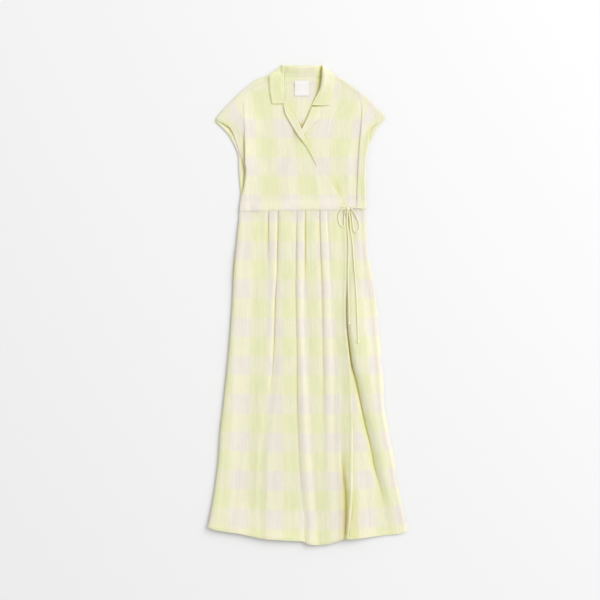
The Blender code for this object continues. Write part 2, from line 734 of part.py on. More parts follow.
def main():
    for obj in list(bpy.data.objects):
        bpy.data.objects.remove(obj, do_unlink=True)
    collection = bpy.data.collections.new(OBJECT_NAME)
    bpy.context.scene.collection.children.link(collection)
    gauze_light = material("gauze_light_check", CHECK_LIGHT, 0.9)
    gauze_green = material("gauze_green_check", CHECK_GREEN, 0.9)
    gauze_cream = material("gauze_cream_check", CHECK_CREAM, 0.9)
    tie_mat = material("tie_rouleau", TIE_YELLOW, 0.85)
    label_mat = material("label_satin", LABEL_WHITE, 0.6)

    pile = Pile()
    collar_fall(collection, gauze_green, pile)
    bodice_back(collection, gauze_cream, pile)
    skirt_back(collection, gauze_cream, pile)
    pocket_mouth(collection, gauze_green, pile)
    neck_label(collection, label_mat, pile)
    collar_stand(collection, gauze_green, pile)
    bodice_front_under(collection, gauze_light, pile)
    skirt_under(collection, gauze_green, pile)
    lapels(collection, gauze_cream, pile, "lapel_under", LAPEL_UNDER)
    bodice_front_over(collection, gauze_light, pile)
    skirt_over(collection, gauze_cream, pile)
    lapels(collection, gauze_cream, pile, "lapel_over", LAPEL_OVER)
    collar_leaves(collection, gauze_green, pile)
    tie(collection, tie_mat, pile)


main()
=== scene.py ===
import math

import bpy
import numpy as np
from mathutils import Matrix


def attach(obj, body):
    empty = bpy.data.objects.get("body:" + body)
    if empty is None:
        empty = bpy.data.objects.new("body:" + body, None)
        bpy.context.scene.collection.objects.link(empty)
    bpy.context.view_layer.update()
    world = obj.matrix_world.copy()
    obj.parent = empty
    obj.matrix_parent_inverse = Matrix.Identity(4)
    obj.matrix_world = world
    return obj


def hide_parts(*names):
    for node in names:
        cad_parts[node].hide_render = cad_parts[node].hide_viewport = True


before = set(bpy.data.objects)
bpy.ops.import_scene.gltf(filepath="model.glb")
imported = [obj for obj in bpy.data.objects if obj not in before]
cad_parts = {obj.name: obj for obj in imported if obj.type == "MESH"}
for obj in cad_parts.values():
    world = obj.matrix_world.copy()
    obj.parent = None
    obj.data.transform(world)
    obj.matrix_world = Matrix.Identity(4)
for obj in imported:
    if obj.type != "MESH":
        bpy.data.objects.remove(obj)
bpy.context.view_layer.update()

# A wrap dress in checked cotton gauze, laid flat. Lengths in this script are millimetres
# until a mesh is made: +X is the viewer's right, +Y is towards the neck, +Z is up.
# Cut pieces are laid one after another on a height map of the pile, so each lies on the last.
mm = 0.001
checkRepeat = 106.2
scene = bpy.context.scene
collection = bpy.data.collections.new("wrapDress")
scene.collection.children.link(collection)


def table(columns, *rows):
    data = np.array(rows, dtype=float)
    return {name: data[:, i] for i, name in enumerate(columns.split())}


def read(tab, column, where, key="y"):
    # cubic through the rows of a table, level at every local high or low
    order = np.argsort(tab[key])
    xs = tab[key][order]
    ys = tab[column][order]
    step = np.diff(xs)
    slope = np.diff(ys) / step
    together = slope[:-1] * slope[1:] > 0
    pair = np.where(together, slope[:-1] + slope[1:], 1.0)
    middle = np.where(together, 2 * slope[:-1] * slope[1:] / pair, 0.0)
    tangent = np.concatenate((slope[:1], middle, slope[-1:]))
    at = np.clip(np.asarray(where, dtype=float), xs[0], xs[-1])
    i = np.clip(np.searchsorted(xs, at) - 1, 0, len(step) - 1)
    t = (at - xs[i]) / step[i]
    ends = ys[i] * (1 + 2 * t) * (1 - t) ** 2 + ys[i + 1] * t * t * (3 - 2 * t)
    bends = tangent[i] * t * (1 - t) ** 2 + tangent[i + 1] * t * t * (t - 1)
    return ends + bends * step[i]


def smoothStep(x, start, end):
    t = np.clip((x - start) / (end - start), 0.0, 1.0)
    return t * t * (3 - 2 * t)


def runOf(points):
    # the length along a line of points, from 0 at its first
    return np.concatenate(([0.0], np.cumsum(np.linalg.norm(np.diff(points, axis=0), axis=1))))


def between(corner, fx, fy):
    # the values that corner(di, dj) gives for the four neighbours, blended by the shares
    near = corner(0, 0) * (1 - fx) + corner(1, 0) * fx
    far = corner(0, 1) * (1 - fx) + corner(1, 1) * fx
    return near * (1 - fy) + far * fy


def softNoise(x, y, sizeX, sizeY, seed):
    # random heights from -1 to 1 on a lattice, blended smoothly between its points
    lattice = np.random.default_rng(seed).uniform(-1.0, 1.0, (97, 97))
    gx = x / sizeX + 500.0
    gy = y / sizeY + 500.0
    i = np.floor(gx).astype(int)
    j = np.floor(gy).astype(int)
    fx = smoothStep(gx - i, 0.0, 1.0)
    fy = smoothStep(gy - j, 0.0, 1.0)
    return between(lambda di, dj: lattice[(i + di) % 97, (j + dj) % 97], fx, fy)


def creases(x, y, rows):
    # each row is a soft ridge or trough: a bell across its line, fading to both ends of it
    total = 0.0 * x
    for x1, y1, x2, y2, width, height, bend in rows:
        dx, dy = x2 - x1, y2 - y1
        length = math.hypot(dx, dy)
        t = ((x - x1) * dx + (y - y1) * dy) / length ** 2
        across = ((x - x1) * dy - (y - y1) * dx) / length - bend * 4 * t * (1 - t)
        inside = np.clip(t, 0.0, 1.0)
        total += height * np.exp(-(across / width) ** 2) * np.sin(math.pi * inside) ** 0.8
    return total


furrowColumns = "y x floor left leftWide right rightWide soft"


def furrow(*rows):
    return table(furrowColumns, *rows)


def climb(t, soft):
    # from 0 to 1, steep at its foot where soft is 0 and level there where soft is 1
    t = np.clip(t, 0.0, 1.0)
    return (1.0 - soft) * (1.0 - (1.0 - t) ** 2) + soft * t * t * (3 - 2 * t)


def furrows(x, y, lines):
    # height of the cloth between valley lines. The table of each line gives its place and floor,
    # and how high and over what width the cloth climbs to its left and to its right; where it
    # is not soft there is a narrow notch along its floor
    result = None
    for line in lines:
        place, floor, left, leftWide, right, rightWide, soft = (
            read(line, column, y) for column in furrowColumns.split()[1:])
        notch = np.maximum((x - place) / 3.0, (place - x) / 7.0)
        notch = 0.45 * right * (1.0 - soft) * climb(notch, 0.0)
        toLeft = floor + left * climb((place - x) / leftWide, soft) + notch
        if result is None:
            result = toLeft
        else:
            share = smoothStep(x, before, place)
            result = np.where(x > before, after + (toLeft - after) * share, result)
        before, after = place, floor + right * climb((x - place) / rightWide, soft) + notch
    return np.where(x > before, after, result)


# the pile: a map of the height of all that is laid down so far
pileSettings = {"cell": 1.5, "lowX": -300.0, "lowY": -700.0, "countX": 400, "countY": 934, "gap": 0.15}
pile = np.zeros((pileSettings["countX"], pileSettings["countY"]))


def cellOf(x, y):
    i = (x - pileSettings["lowX"]) / pileSettings["cell"]
    j = (y - pileSettings["lowY"]) / pileSettings["cell"]
    return i, j


def spread(field, reach, combine):
    # running combination of a field over a square window, one axis after the other
    for axis in (0, 1):
        wide = np.pad(field, [(reach, reach) if a == axis else (0, 0) for a in (0, 1)], mode="edge")
        parts = [np.take(wide, range(k, k + field.shape[axis]), axis=axis) for k in range(2 * reach + 1)]
        field = combine(parts, axis=0)
    return field


def support(x, y, reach=3, blur=2):
    # the pile's height, bridged over steps: the highest nearby point, then averaged
    return sample(spread(spread(pile, reach, np.max), blur, np.mean), x, y)


def sample(field, x, y):
    gx, gy = cellOf(x, y)
    gx = np.clip(gx, 0, field.shape[0] - 1.001)
    gy = np.clip(gy, 0, field.shape[1] - 1.001)
    i = gx.astype(int)
    j = gy.astype(int)
    return between(lambda di, dj: field[i + di, j + dj], gx - i, gy - j)


def layOnPile(points):
    # both triangles of each face are sampled, more densely where faces are larger
    a, b = points[:-1, :-1], points[:-1, 1:]
    d, c = points[1:, :-1], points[1:, 1:]
    widest = max(np.abs(b - a)[..., :2].max(), np.abs(d - a)[..., :2].max())
    shares = np.linspace(0.0, 1.0, min(int(widest / pileSettings["cell"]) + 2, 14))
    for s in shares:
        for t in shares:
            spot = a + s * (b - a) + t * (c - b) if t <= s else a + t * (d - a) + s * (c - d)
            i, j = cellOf(spot[..., 0], spot[..., 1])
            np.maximum.at(pile, (np.rint(i).astype(int), np.rint(j).astype(int)), spot[..., 2])


def makeMesh(name, points, faceLists, uv, material):
    # faceLists are arrays of corner numbers, one array for each number of corners
    mesh = bpy.data.meshes.new(name)
    corners = np.concatenate([faces.ravel() for faces in faceLists])
    sizes = np.concatenate([np.full(len(faces), faces.shape[1]) for faces in faceLists])
    mesh.vertices.add(len(points))
    mesh.vertices.foreach_set("co", (points * mm).ravel())
    mesh.loops.add(len(corners))
    mesh.loops.foreach_set("vertex_index", corners.astype(np.int32))
    mesh.polygons.add(len(sizes))
    mesh.polygons.foreach_set("loop_start", np.concatenate(([0], np.cumsum(sizes)[:-1])).astype(np.int32))
    # the fold attribute carries painted shade, filled in by shadeFolds; 0 until then
    mesh.attributes.new("fold", "FLOAT", "POINT")
    layer = mesh.uv_layers.new(name="cloth")
    layer.data.foreach_set("uv", (uv[corners] * mm).ravel())
    mesh.update(calc_edges=True)
    mesh.validate()
    mesh.shade_smooth()
    mesh.set_sharp_from_angle(angle=math.radians(66))
    mesh.materials.append(material)
    obj = bpy.data.objects.new(name, mesh)
    collection.objects.link(obj)
    return obj


def shell(name, upper, lower, uv, material):
    # closed body between two grids of points, with quads round the rim
    rows, columns = upper.shape[:2]
    count = rows * columns
    grid = np.arange(count).reshape(rows, columns)
    top = np.stack((grid[:-1, :-1], grid[:-1, 1:], grid[1:, 1:], grid[1:, :-1]), -1).reshape(-1, 4)
    rim = np.concatenate((grid[0, :-1], grid[:-1, -1], grid[-1, :0:-1], grid[:0:-1, 0]))
    after = np.roll(rim, -1)
    side = np.stack((after, rim, rim + count, after + count), 1)
    points = np.concatenate((upper.reshape(-1, 3), lower.reshape(-1, 3)))
    faces = np.concatenate((top, top[:, ::-1] + count, side))
    if np.mean(np.cross(upper[1:, :-1] - upper[:-1, :-1], upper[:-1, 1:] - upper[:-1, :-1])[..., 2]) > 0:
        faces = faces[:, ::-1]
    both = np.concatenate((uv.reshape(-1, 2), uv.reshape(-1, 2)))
    return makeMesh(name, points, [faces], both, material)


def gridNormals(points):
    along = np.gradient(points, axis=0)
    across = np.gradient(points, axis=1)
    normal = np.cross(across, along)
    normal /= np.maximum(np.linalg.norm(normal, axis=-1, keepdims=True), 1e-9)
    return normal * np.where(normal[len(points) // 2, :, 2].mean() < 0, -1.0, 1.0)


def splineWeights(knotX, knotZ, spacing):
    # uniform cubic B-spline with held ends: one row of weights for each sample
    count = len(knotX)
    wide = np.clip(np.arange(-2, count + 2), 0, count - 1)
    length = np.hypot(np.diff(knotX, axis=0), np.diff(knotZ, axis=0)).max(axis=1)
    samples = []
    for j in range(count + 1):
        first, second = wide[j + 1], wide[j + 2]
        long = length[first] if second > first else 0.0
        number = max(int(math.ceil(long / spacing)), 2 if second > first else 1)
        samples += [(j, k / number) for k in range(number)]
    samples.append((count, 1.0))
    weights = np.zeros((len(samples), count))
    for row, (j, t) in enumerate(samples):
        parts = ((1 - t) ** 3, 3 * t ** 3 - 6 * t * t + 4, 1 + 3 * t + 3 * t * t - 3 * t ** 3, t ** 3)
        for part, knot in zip(parts, wide[j:j + 4]):
            weights[row, knot] += part / 6
    return weights


class Knots:
    # the lines of a panel, from one side to the other: place, height and row for each.
    # They run to the right, or leftwards.

    def __init__(self, rowY, leftwards=False):
        self.rowY = rowY
        self.leftwards = leftwards
        self.x = []
        self.y = []
        self.z = []
        self.marks = []

    def at(self, x, z=0.0, y=None):
        self.x.append(x)
        self.y.append(self.rowY(x) if y is None else y)
        self.z.append(z + 0.0 * x)

    def flat(self, first, last, count, z=0.0):
        for k in range(1, count + 1):
            self.at(first + (last - first) * k / (count + 1), z)

    def mark(self, x, value):
        # the cloth coordinate is value where the last line's surface reaches x
        self.marks.append((len(self.x) - 1, x, value))

    def fold(self, x, facing, tuck, height, low=0.0, size=1.0):
        # a raised part ends at x with its edge facing left (-1) or right (+1), and the cloth
        # goes back beneath it by the tuck before it comes out at the low height
        y = self.rowY(x)
        places = (6.0, 1.0, -0.5, tuck + 0.6, tuck, -2.6, -5.0, -10.0)
        levels = (1.03, 1.0, 0.74, 0.36, 0.03, 0.0, 0.0, 0.0)
        lines = [(place, low + share * (height - low)) for place, share in zip(places, levels)]
        for inward, level in lines if (facing > 0) != self.leftwards else reversed(lines):
            self.at(x - facing * inward * size, level, y)

    def across(self):
        # length along the cloth, stretched so that every marked line has its coordinate
        x, z = np.array(self.x), np.array(self.z)
        step = np.hypot(np.diff(x, axis=0), np.diff(z, axis=0))
        run = np.concatenate((np.zeros((1, x.shape[1])), np.cumsum(step, axis=0)))
        way = -1.0 if self.leftwards else 1.0
        spots = [run[i] + way * (mark - x[i]) for i, mark, _ in self.marks]
        values = [value for _, _, value in self.marks]
        result = run - spots[0] + values[0]
        for here, there, low, high in zip(spots, spots[1:], values, values[1:]):
            inner = low + (run - here) * (high - low) / np.maximum(there - here, 1.0)
            result = np.where(run > here, inner, result)
        return np.where(run > spots[-1], values[-1] + run - spots[-1], result)

    def surface(self, spacing):
        weights = splineWeights(np.array(self.x), np.array(self.z), spacing)
        return [(weights @ np.array(part)).T for part in (self.x, self.y, self.z, self.across())]


surfaces = {}


def layCloth(node, knots, settings, drop, shape=None, rim=None, seat=None):
    # the panel's surface on the pile, its own undulation, then a crinkle along its normals
    x, y, z, u = knots.surface(settings["spacing"])
    v = drop(x, y)
    if shape is not None:
        # troughs fade out before they reach what the panel lies on
        least = np.minimum(z, 0.0)
        lift = z + shape(x, y) - least
        z = least + 0.5 * (lift + np.sqrt(lift * lift + 0.3))
    z = z + (support(x, y, settings.get("reach", 3), settings.get("blur", 2)) if seat is None else seat(x, y))
    half = 0.5 * settings["wall"] * np.ones_like(z)
    if rim is not None:
        half = half + 0.5 * rim(x, y)
    middle = np.stack((x, y, z + half + pileSettings["gap"]), -1)
    crinkle = settings["crinkle"] * softNoise(u, v, 5.5, 34.0, settings["seed"])
    crinkle += settings["crinkle"] * 0.8 * softNoise(u, v, 11.0, 90.0, settings["seed"] + 1)
    normal = gridNormals(middle)
    middle = middle + normal * (crinkle + 1.2 * settings["crinkle"])[..., None]
    normal = gridNormals(middle)
    upper = middle + normal * half[..., None]
    lower = middle - normal * half[..., None]
    lower[..., 2] = np.maximum(lower[..., 2], 0.02)
    upper[..., 2] = np.maximum(upper[..., 2], lower[..., 2] + 0.1)
    return laid(node, upper, lower, u, v)


def laid(node, upper, lower, u, v):
    name = pieceName(node)
    piece = shell(name, upper, lower, np.stack((u, v), -1), gauze)
    surfaces[name] = (piece, upper)
    layOnPile(upper)
    finishPiece(piece, node)
    return piece


# painted shade where the folds' own is too weak. In the order of the rows: two between the
# tie's strands, beside the wrap's edge, in the valley near the hem, right of it on the under front,
# where the slanting fold leaves the front's edge, at the right leaf's roll, two at the left armhole
paintedShadeSpots = (
    (116.6, 268, 117.4, 206, 3.6, 1, 0),
    (107.4, 262, 107.6, 244, 2.4, 0.7, 0),
    (78, 352, 99, 300, 6, 0.3, 0),
    (101, -400, 102, -700, 12, 0.4, -4),
    (134, -500, 132, -720, 13, 0.3, 0),
    (111, -30, 122, -200, 3, 0.3, -2),
    (39.5, 690, 35, 600, 2.8, 1, 0),
    (-241, 514, -219.5, 496, 2.4, 0.35, 0),
    (-222, 502, -206.5, 458, 2.4, 0.35, 1.5),
)


shadeSettings = {
    "windows": ((0.32, 1), (0.36, 3), (0.25, 6)), "windowShare": 0.8,
    "lees": ((0.16, 6.0, 3.0, 1.2), (0.05, 14.0, 6.0, 2.0)),
    "aroundShare": 0.4, "aroundFrom": 1.5, "from": 0.22, "depth": 1.1, "collarShare": 0.4}


def shadeFolds(clothPile):
    # painted shade: the cloth's colour is darkened towards olive by its depth, none on the underside:
    # in crevices, where the pile stands above a point on both its left and right, near and farther off;
    # beside high edges; and as painted shadow in the lee of a height to its upper right, where the key
    # lamp stands. The shade is 1 - exp(-depth / 1.1 mm) past the first 0.22 mm, and the listed spots of
    # painted shade are added to it
    windows = []
    for share, reach in shadeSettings["windows"]:
        level = spread(clothPile, reach, np.mean)
        windows.append((share, np.minimum(np.roll(level, reach, axis=0), np.roll(level, -reach, axis=0))))
    near, around = spread(clothPile, 1, np.mean), spread(clothPile, 4, np.mean)
    for piece, upper in surfaces.values():
        x, y, z = upper[..., 0], upper[..., 1], upper[..., 2]
        depth = sum(share * np.maximum(sample(field, x, y) - z, 0.0) for share, field in windows)
        lee = sum(share * np.maximum(sample(near, x + aside, y + above) - z - start, 0.0)
                  for share, aside, above, start in shadeSettings["lees"])
        proud = np.maximum(sample(around, x, y) - z - shadeSettings["aroundFrom"], 0.0)
        depth = shadeSettings["windowShare"] * depth + shadeSettings["aroundShare"] * proud + lee
        value = 1.0 - np.exp(-np.maximum(depth - shadeSettings["from"], 0.0) / shadeSettings["depth"])
        # less painted shade on the front skirt near the waist, and less on the collar and lapels
        if piece.name == "skirtOver":
            value = value * (0.3 + 0.7 * smoothStep(waist(x) - y, 0.0, 70.0))
        if piece.name.startswith(("collar", "lapel")):
            value = shadeSettings["collarShare"] * value
        value = np.clip(value + creases(x, y, paintedShadeSpots), 0.0, 1.0)
        both = np.concatenate((value.ravel(), 0.0 * value.ravel())).astype(np.float32)
        piece.data.attributes["fold"].data.foreach_set("value", both)


def pieceName(node):
    return "".join(part.capitalize() if k else part for k, part in enumerate(node.split("_")))


def finishPiece(piece, node):
    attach(piece, "root")
    if node:
        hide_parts(node)
    print("made", piece.name, len(piece.data.polygons), "faces")


def nodeGroup(name, inputs, outputs):
    tree = bpy.data.node_groups.new(name, "ShaderNodeTree")
    for socket, kind, value in inputs:
        made = tree.interface.new_socket(name=socket, in_out="INPUT", socket_type="NodeSocket" + kind)
        if value is not None:
            made.default_value = value
    for socket, kind in outputs:
        tree.interface.new_socket(name=socket, in_out="OUTPUT", socket_type="NodeSocket" + kind)
    return tree, tree.nodes.new("NodeGroupInput").outputs, tree.nodes.new("NodeGroupOutput").inputs


def addNode(tree, kind, inputs=(), **options):
    # an input is given as another node's output, which is linked, or as a value
    node = tree.nodes.new("ShaderNode" + kind)
    for name, value in options.items():
        setattr(node, name, value)
    for socket, value in dict(inputs).items():
        if isinstance(value, bpy.types.NodeSocket):
            tree.links.new(value, node.inputs[socket])
        else:
            node.inputs[socket].default_value = value
    return node


def placeGroup(tree, group, inputs):
    return addNode(tree, "Group", inputs, node_tree=group).outputs[0]


def maths(tree, operation, first, second=0.0, third=0.0):
    inputs = {0: first, 1: second, 2: third}
    return addNode(tree, "Math", inputs, operation=operation).outputs[0]


def remap(tree, value, low, high, newLow=0.0, newHigh=1.0):
    inputs = {"Value": value, "From Min": low, "From Max": high, "To Min": newLow, "To Max": newHigh}
    return addNode(tree, "MapRange", inputs, interpolation_type="SMOOTHSTEP").outputs[0]


def mixColour(tree, share, first, second, blend="MIX"):
    node = addNode(tree, "Mix", {0: share, 6: first, 7: second}, data_type="RGBA", blend_type=blend)
    return node.outputs[2]


def stretched(tree, vector, across, along):
    # a vector scaled so that one unit is this many metres across and along the cloth
    return addNode(tree, "VectorMath", {0: vector, 1: (1 / across, 1 / along, 1.0)},
                   operation="MULTIPLY").outputs[0]


def clothNoise(tree, cloth, across, along, **inputs):
    inputs.update({"Vector": stretched(tree, cloth, across, along), "Scale": 1.0})
    return addNode(tree, "TexNoise", inputs).outputs[0]


def makeCheckGroup():
    # soft bands across and along: cosine waves, cut off smoothly, then four colours mixed
    tree, given, result = nodeGroup("softCheck", [
        ("Cloth", "Vector", None), ("Repeat", "Float", checkRepeat * mm), ("Edge", "Float", 0.45),
        ("Both rose", "Color", None), ("Rose warp", "Color", None),
        ("Rose weft", "Color", None), ("Both green", "Color", None)], [("Colour", "Color")])
    fray = clothNoise(tree, given["Cloth"], 0.0022, 0.03, Detail=1.0)
    drift = clothNoise(tree, given["Cloth"], 0.05, 0.05, Detail=2.0)
    parts = addNode(tree, "SeparateXYZ", {0: given["Cloth"]}).outputs
    bands = []
    for part, loose in ((parts[0], fray), (parts[1], drift)):
        moved = maths(tree, "MULTIPLY_ADD", maths(tree, "SUBTRACT", loose, 0.5), 0.009, part)
        turn = maths(tree, "DIVIDE", maths(tree, "MULTIPLY", moved, 2 * math.pi), given["Repeat"])
        wave = maths(tree, "COSINE", turn)
        low = maths(tree, "MULTIPLY", given["Edge"], -1.0)
        bands.append(remap(tree, wave, low, given["Edge"]))
    greenRow = mixColour(tree, bands[0], given["Both green"], given["Rose warp"])
    roseRow = mixColour(tree, bands[0], given["Rose weft"], given["Both rose"])
    tree.links.new(mixColour(tree, bands[1], greenRow, roseRow), result[0])
    return tree


def makeYarnGroup():
    # slubs: thin streaks along the warp, thinner ones across, and slow clouds of tone
    tree, given, result = nodeGroup("yarnTone", [
        ("Cloth", "Vector", None), ("Amount", "Float", 0.1)], [("Tone", "Float")])
    total = 1.0
    for across, along, share in ((0.0012, 0.028, 1.0), (0.02, 0.0014, 0.5), (0.004, 0.09, 0.9),
                                 (0.03, 0.05, 0.5)):
        noise = clothNoise(tree, given["Cloth"], across, along, Detail=2.0)
        change = maths(tree, "MULTIPLY", maths(tree, "SUBTRACT", noise, 0.5), given["Amount"])
        total = maths(tree, "MULTIPLY_ADD", change, share, total)
    tree.links.new(total, result[0])
    return tree


def makeReliefGroup():
    # height of the gauze: long narrow puckers, short ones, and the plain weave's crossings
    tree, given, result = nodeGroup("gauzeRelief", [
        ("Cloth", "Vector", None), ("Pucker", "Float", 1.0), ("Weave", "Float", 1.0)],
        [("Height", "Float")])
    total = 0.0
    for across, along, share in ((0.0034, 0.042, 1.0), (0.0019, 0.014, 0.45), (0.009, 0.12, 0.5)):
        noise = clothNoise(tree, given["Cloth"], across, along, Detail=2.0, Roughness=0.45)
        total = maths(tree, "MULTIPLY_ADD", maths(tree, "MULTIPLY", noise, share), given["Pucker"], total)
    parts = addNode(tree, "SeparateXYZ", {0: given["Cloth"]}).outputs
    threads = [maths(tree, "SINE", maths(tree, "MULTIPLY", part, 2 * math.pi / 0.0009)) for part in parts[:2]]
    weave = maths(tree, "MULTIPLY", threads[0], threads[1])
    tree.links.new(maths(tree, "MULTIPLY_ADD", weave, maths(tree, "MULTIPLY", given["Weave"], 0.05), total),
                   result[0])
    return tree


clothColours = {
    "bothRose": (0.81, 0.75, 0.656, 1.0),
    "roseWarp": (0.83, 0.795, 0.585, 1.0),
    "roseWeft": (0.797, 0.776, 0.562, 1.0),
    "bothGreen": (0.77, 0.775, 0.488, 1.0),
    # the next two colours are painted shade: the fold attribute multiplies them into the cloth in its
    # crevices and hollows
    "fold": (0.86, 0.828, 0.47, 1.0),
    "deepestShade": (0.84, 0.81, 0.76, 1.0),
    "tie": (0.83, 0.79, 0.58, 1.0),
    "label": (0.83, 0.80, 0.775, 1.0),
}

checkGroup = makeCheckGroup()
yarnGroup = makeYarnGroup()
reliefGroup = makeReliefGroup()


def newMaterial(name):
    made = bpy.data.materials.new(name)
    made.use_nodes = True
    return made, made.node_tree.nodes["Principled BSDF"]


def setInputs(shader, values):
    for socket, value in values.items():
        shader.inputs[socket].default_value = value


def clothMaterial(name, colour, finish):
    # colour is a function that gives the base colour socket from the tree and the cloth vector
    made, shader = newMaterial(name)
    tree = made.node_tree
    cloth = addNode(tree, "UVMap", uv_map="cloth").outputs[0]
    tone = placeGroup(tree, yarnGroup, {"Cloth": cloth, "Amount": finish["tone"]})
    grey = addNode(tree, "CombineColor", {0: tone, 1: tone, 2: tone}).outputs[0]
    toned = mixColour(tree, 1.0, colour(tree, cloth), grey, "MULTIPLY")
    fold = addNode(tree, "Attribute", attribute_name="fold").outputs["Fac"]
    # painted shade: the fold colour is multiplied in while the attribute goes from 0 to 0.65, the deepest
    # shade colour from there to 1
    for depth, low, high in (("fold", 0.0, 0.65), ("deepestShade", 0.65, 1.0)):
        share = maths(tree, "MULTIPLY", maths(tree, "SUBTRACT", fold, low), 1.0 / (high - low))
        share = addNode(tree, "Clamp", {0: share}).outputs[0]
        toned = mixColour(tree, share, toned, mixColour(tree, 1.0, toned, clothColours[depth], "MULTIPLY"))
    tree.links.new(toned, shader.inputs["Base Color"])
    height = placeGroup(tree, reliefGroup, {"Cloth": cloth, "Pucker": finish["pucker"],
                                            "Weave": finish["weave"]})
    bump = addNode(tree, "Bump", {"Strength": finish["bump"], "Distance": finish["relief"], "Height": height})
    tree.links.new(bump.outputs[0], shader.inputs["Normal"])
    rough = remap(tree, tone, 0.9, 1.1, finish["roughness"] - 0.05, finish["roughness"] + 0.05)
    tree.links.new(rough, shader.inputs["Roughness"])
    setInputs(shader, {"Specular IOR Level": finish["specular"], "Sheen Weight": finish["sheen"],
                       "Sheen Roughness": 0.6, "Subsurface Weight": finish["through"],
                       "Subsurface Radius": (1.0, 0.92, 0.6), "Subsurface Scale": 0.0014})
    return made


def checkedColour(tree, cloth):
    return placeGroup(tree, checkGroup, {
        "Cloth": cloth, "Both rose": clothColours["bothRose"], "Rose warp": clothColours["roseWarp"],
        "Rose weft": clothColours["roseWeft"], "Both green": clothColours["bothGreen"]})


def plainColour(name):
    def colour(tree, cloth):
        output = addNode(tree, "RGB").outputs[0]
        output.default_value = clothColours[name]
        return output
    return colour


gauzeFinish = {"tone": 0.12, "pucker": 0.7, "weave": 1.0, "bump": 0.8, "relief": 0.0009,
               "roughness": 0.88, "specular": 0.25, "sheen": 0.12, "through": 0.5}
tieFinish = dict(gauzeFinish, pucker=0.6, relief=0.0006)
labelFinish = dict(gauzeFinish, through=0.0, tone=0.03, pucker=0.12, weave=1.5, relief=0.0003,
                   roughness=0.6, sheen=0.3)

gauze = clothMaterial("checkedGauze", checkedColour, gauzeFinish)
tieCloth = clothMaterial("rouleauCloth", plainColour("tie"), tieFinish)
labelTape = clothMaterial("labelTape", plainColour("label"), labelFinish)
thread = clothMaterial("sewingThread", plainColour("tie"), dict(tieFinish, pucker=0.0, weave=0.0))


# outlines, the same sizes as the solids
skirtSides = table(
    "y      left    right",
    (268, -187, 165.5), (222, -192, 166), (150, -199, 170), (80, -205, 183),
    (0, -209, 195), (-99, -216, 204.5), (-197, -225, 212.5), (-284, -234.5, 217.5),
    (-362, -243, 230), (-441, -248.5, 245.5), (-519, -258.5, 257.5), (-589, -270, 272.5),
    (-622, -277.5, 279))
hemLine = table(
    "x       y",
    (-277.5, -622), (-250, -632.5), (-191, -641), (-123, -655), (-84, -659),
    (-11, -663), (3, -670.5), (33, -673.5), (66, -669.5), (88, -663), (106, -655),
    (139, -655.5), (174, -650), (216, -645.5), (259, -641.5), (279, -634))
waistSettings = {"y": 262.0, "rise": 6.0}


def waist(x):
    left, right = skirtSides["left"][0], skirtSides["right"][0]
    return waistSettings["y"] + waistSettings["rise"] * (x - left) / (right - left)


def hem(x):
    return read(hemLine, "y", x, key="x")


def skirtDrop(x, y):
    # distance down the cloth; the rows sag a little towards the middle of the hem
    down = 257.6 - y
    sag = 11.0 * (1.0 - ((x + 10.0) / 240.0) ** 2)
    return down - sag * np.clip(down / 900.0, 0.0, 1.0)


# how high the front's hem stands off the surface
hemLifts = table(
    "x       z",
    (-277, 3), (-235, 7), (-190, 9), (-120, 9), (-60, 7.5), (0, 5), (60, 4),
    (120, 3), (200, 1.6), (279, 1.4))


def hemLift(x, y):
    return read(hemLifts, "z", x, key="x") * (1.0 - smoothStep(y - hem(x), 4.0, 100.0))


def hemRim(x, y):
    # the hem is turned twice, so the cloth is thicker along it
    return 0.7 * smoothStep(hem(x) + 11.0 - y, -1.0, 1.0)


skirtRows = 240
skirtShares = np.linspace(0.0, 1.0, skirtRows)


def skirtRow(tuck):
    # rows from the waist to the hem, which a lower panel holds back by the tuck
    return lambda x: waist(x) - 0.2 + (hem(x) + tuck(x) - waist(x)) * skirtShares


def solveLine(tab, column, rowY, shift=0.0):
    # the x of a table's line at each row, where the row's height depends on x
    y = rowY(0.0 * skirtShares)
    for _ in range(4):
        x = read(tab, column, y) + shift
        y = rowY(x)
    return x, y


skirtBackSettings = {"spacing": 5.0, "wall": 0.7, "crinkle": 0.10, "seed": 11}
skirtBackCreases = (
    (-150, 270, -176, -180, 9, 1.5, 6),
    (-96, 268, -88, 20, 7, 1.1, -3),
    (-30, 270, -46, -260, 10, 1.6, 5),
    (52, 268, 60, -120, 8, 1.2, -4),
    (118, 262, 160, -300, 11, 1.5, 6),
    (-200, -120, -236, -620, 12, 1.6, -6),
    (-110, -60, -124, -640, 10, 1.3, 5),
    (8, -180, -6, -650, 12, 1.7, 4),
    (92, -240, 120, -640, 9, 1.2, -3),
    (196, -220, 236, -620, 11, 1.5, 5),
)


def makeSkirtBack():
    rowY = skirtRow(lambda x: 4.0)
    left, _ = solveLine(skirtSides, "left", rowY, 1.0)
    right, _ = solveLine(skirtSides, "right", rowY, -1.0)
    knots = Knots(rowY)
    knots.at(left, 0.4)
    knots.flat(left, right, 22)
    knots.mark(left + 4 * (right - left) / 23, 0.0)
    knots.at(right)

    def shape(x, y):
        # low ridges only, since the panel rests on its underside
        return np.maximum(creases(x, y, skirtBackCreases), 0.0)

    return layCloth("skirt_back", knots, skirtBackSettings, skirtDrop, shape, hemRim)


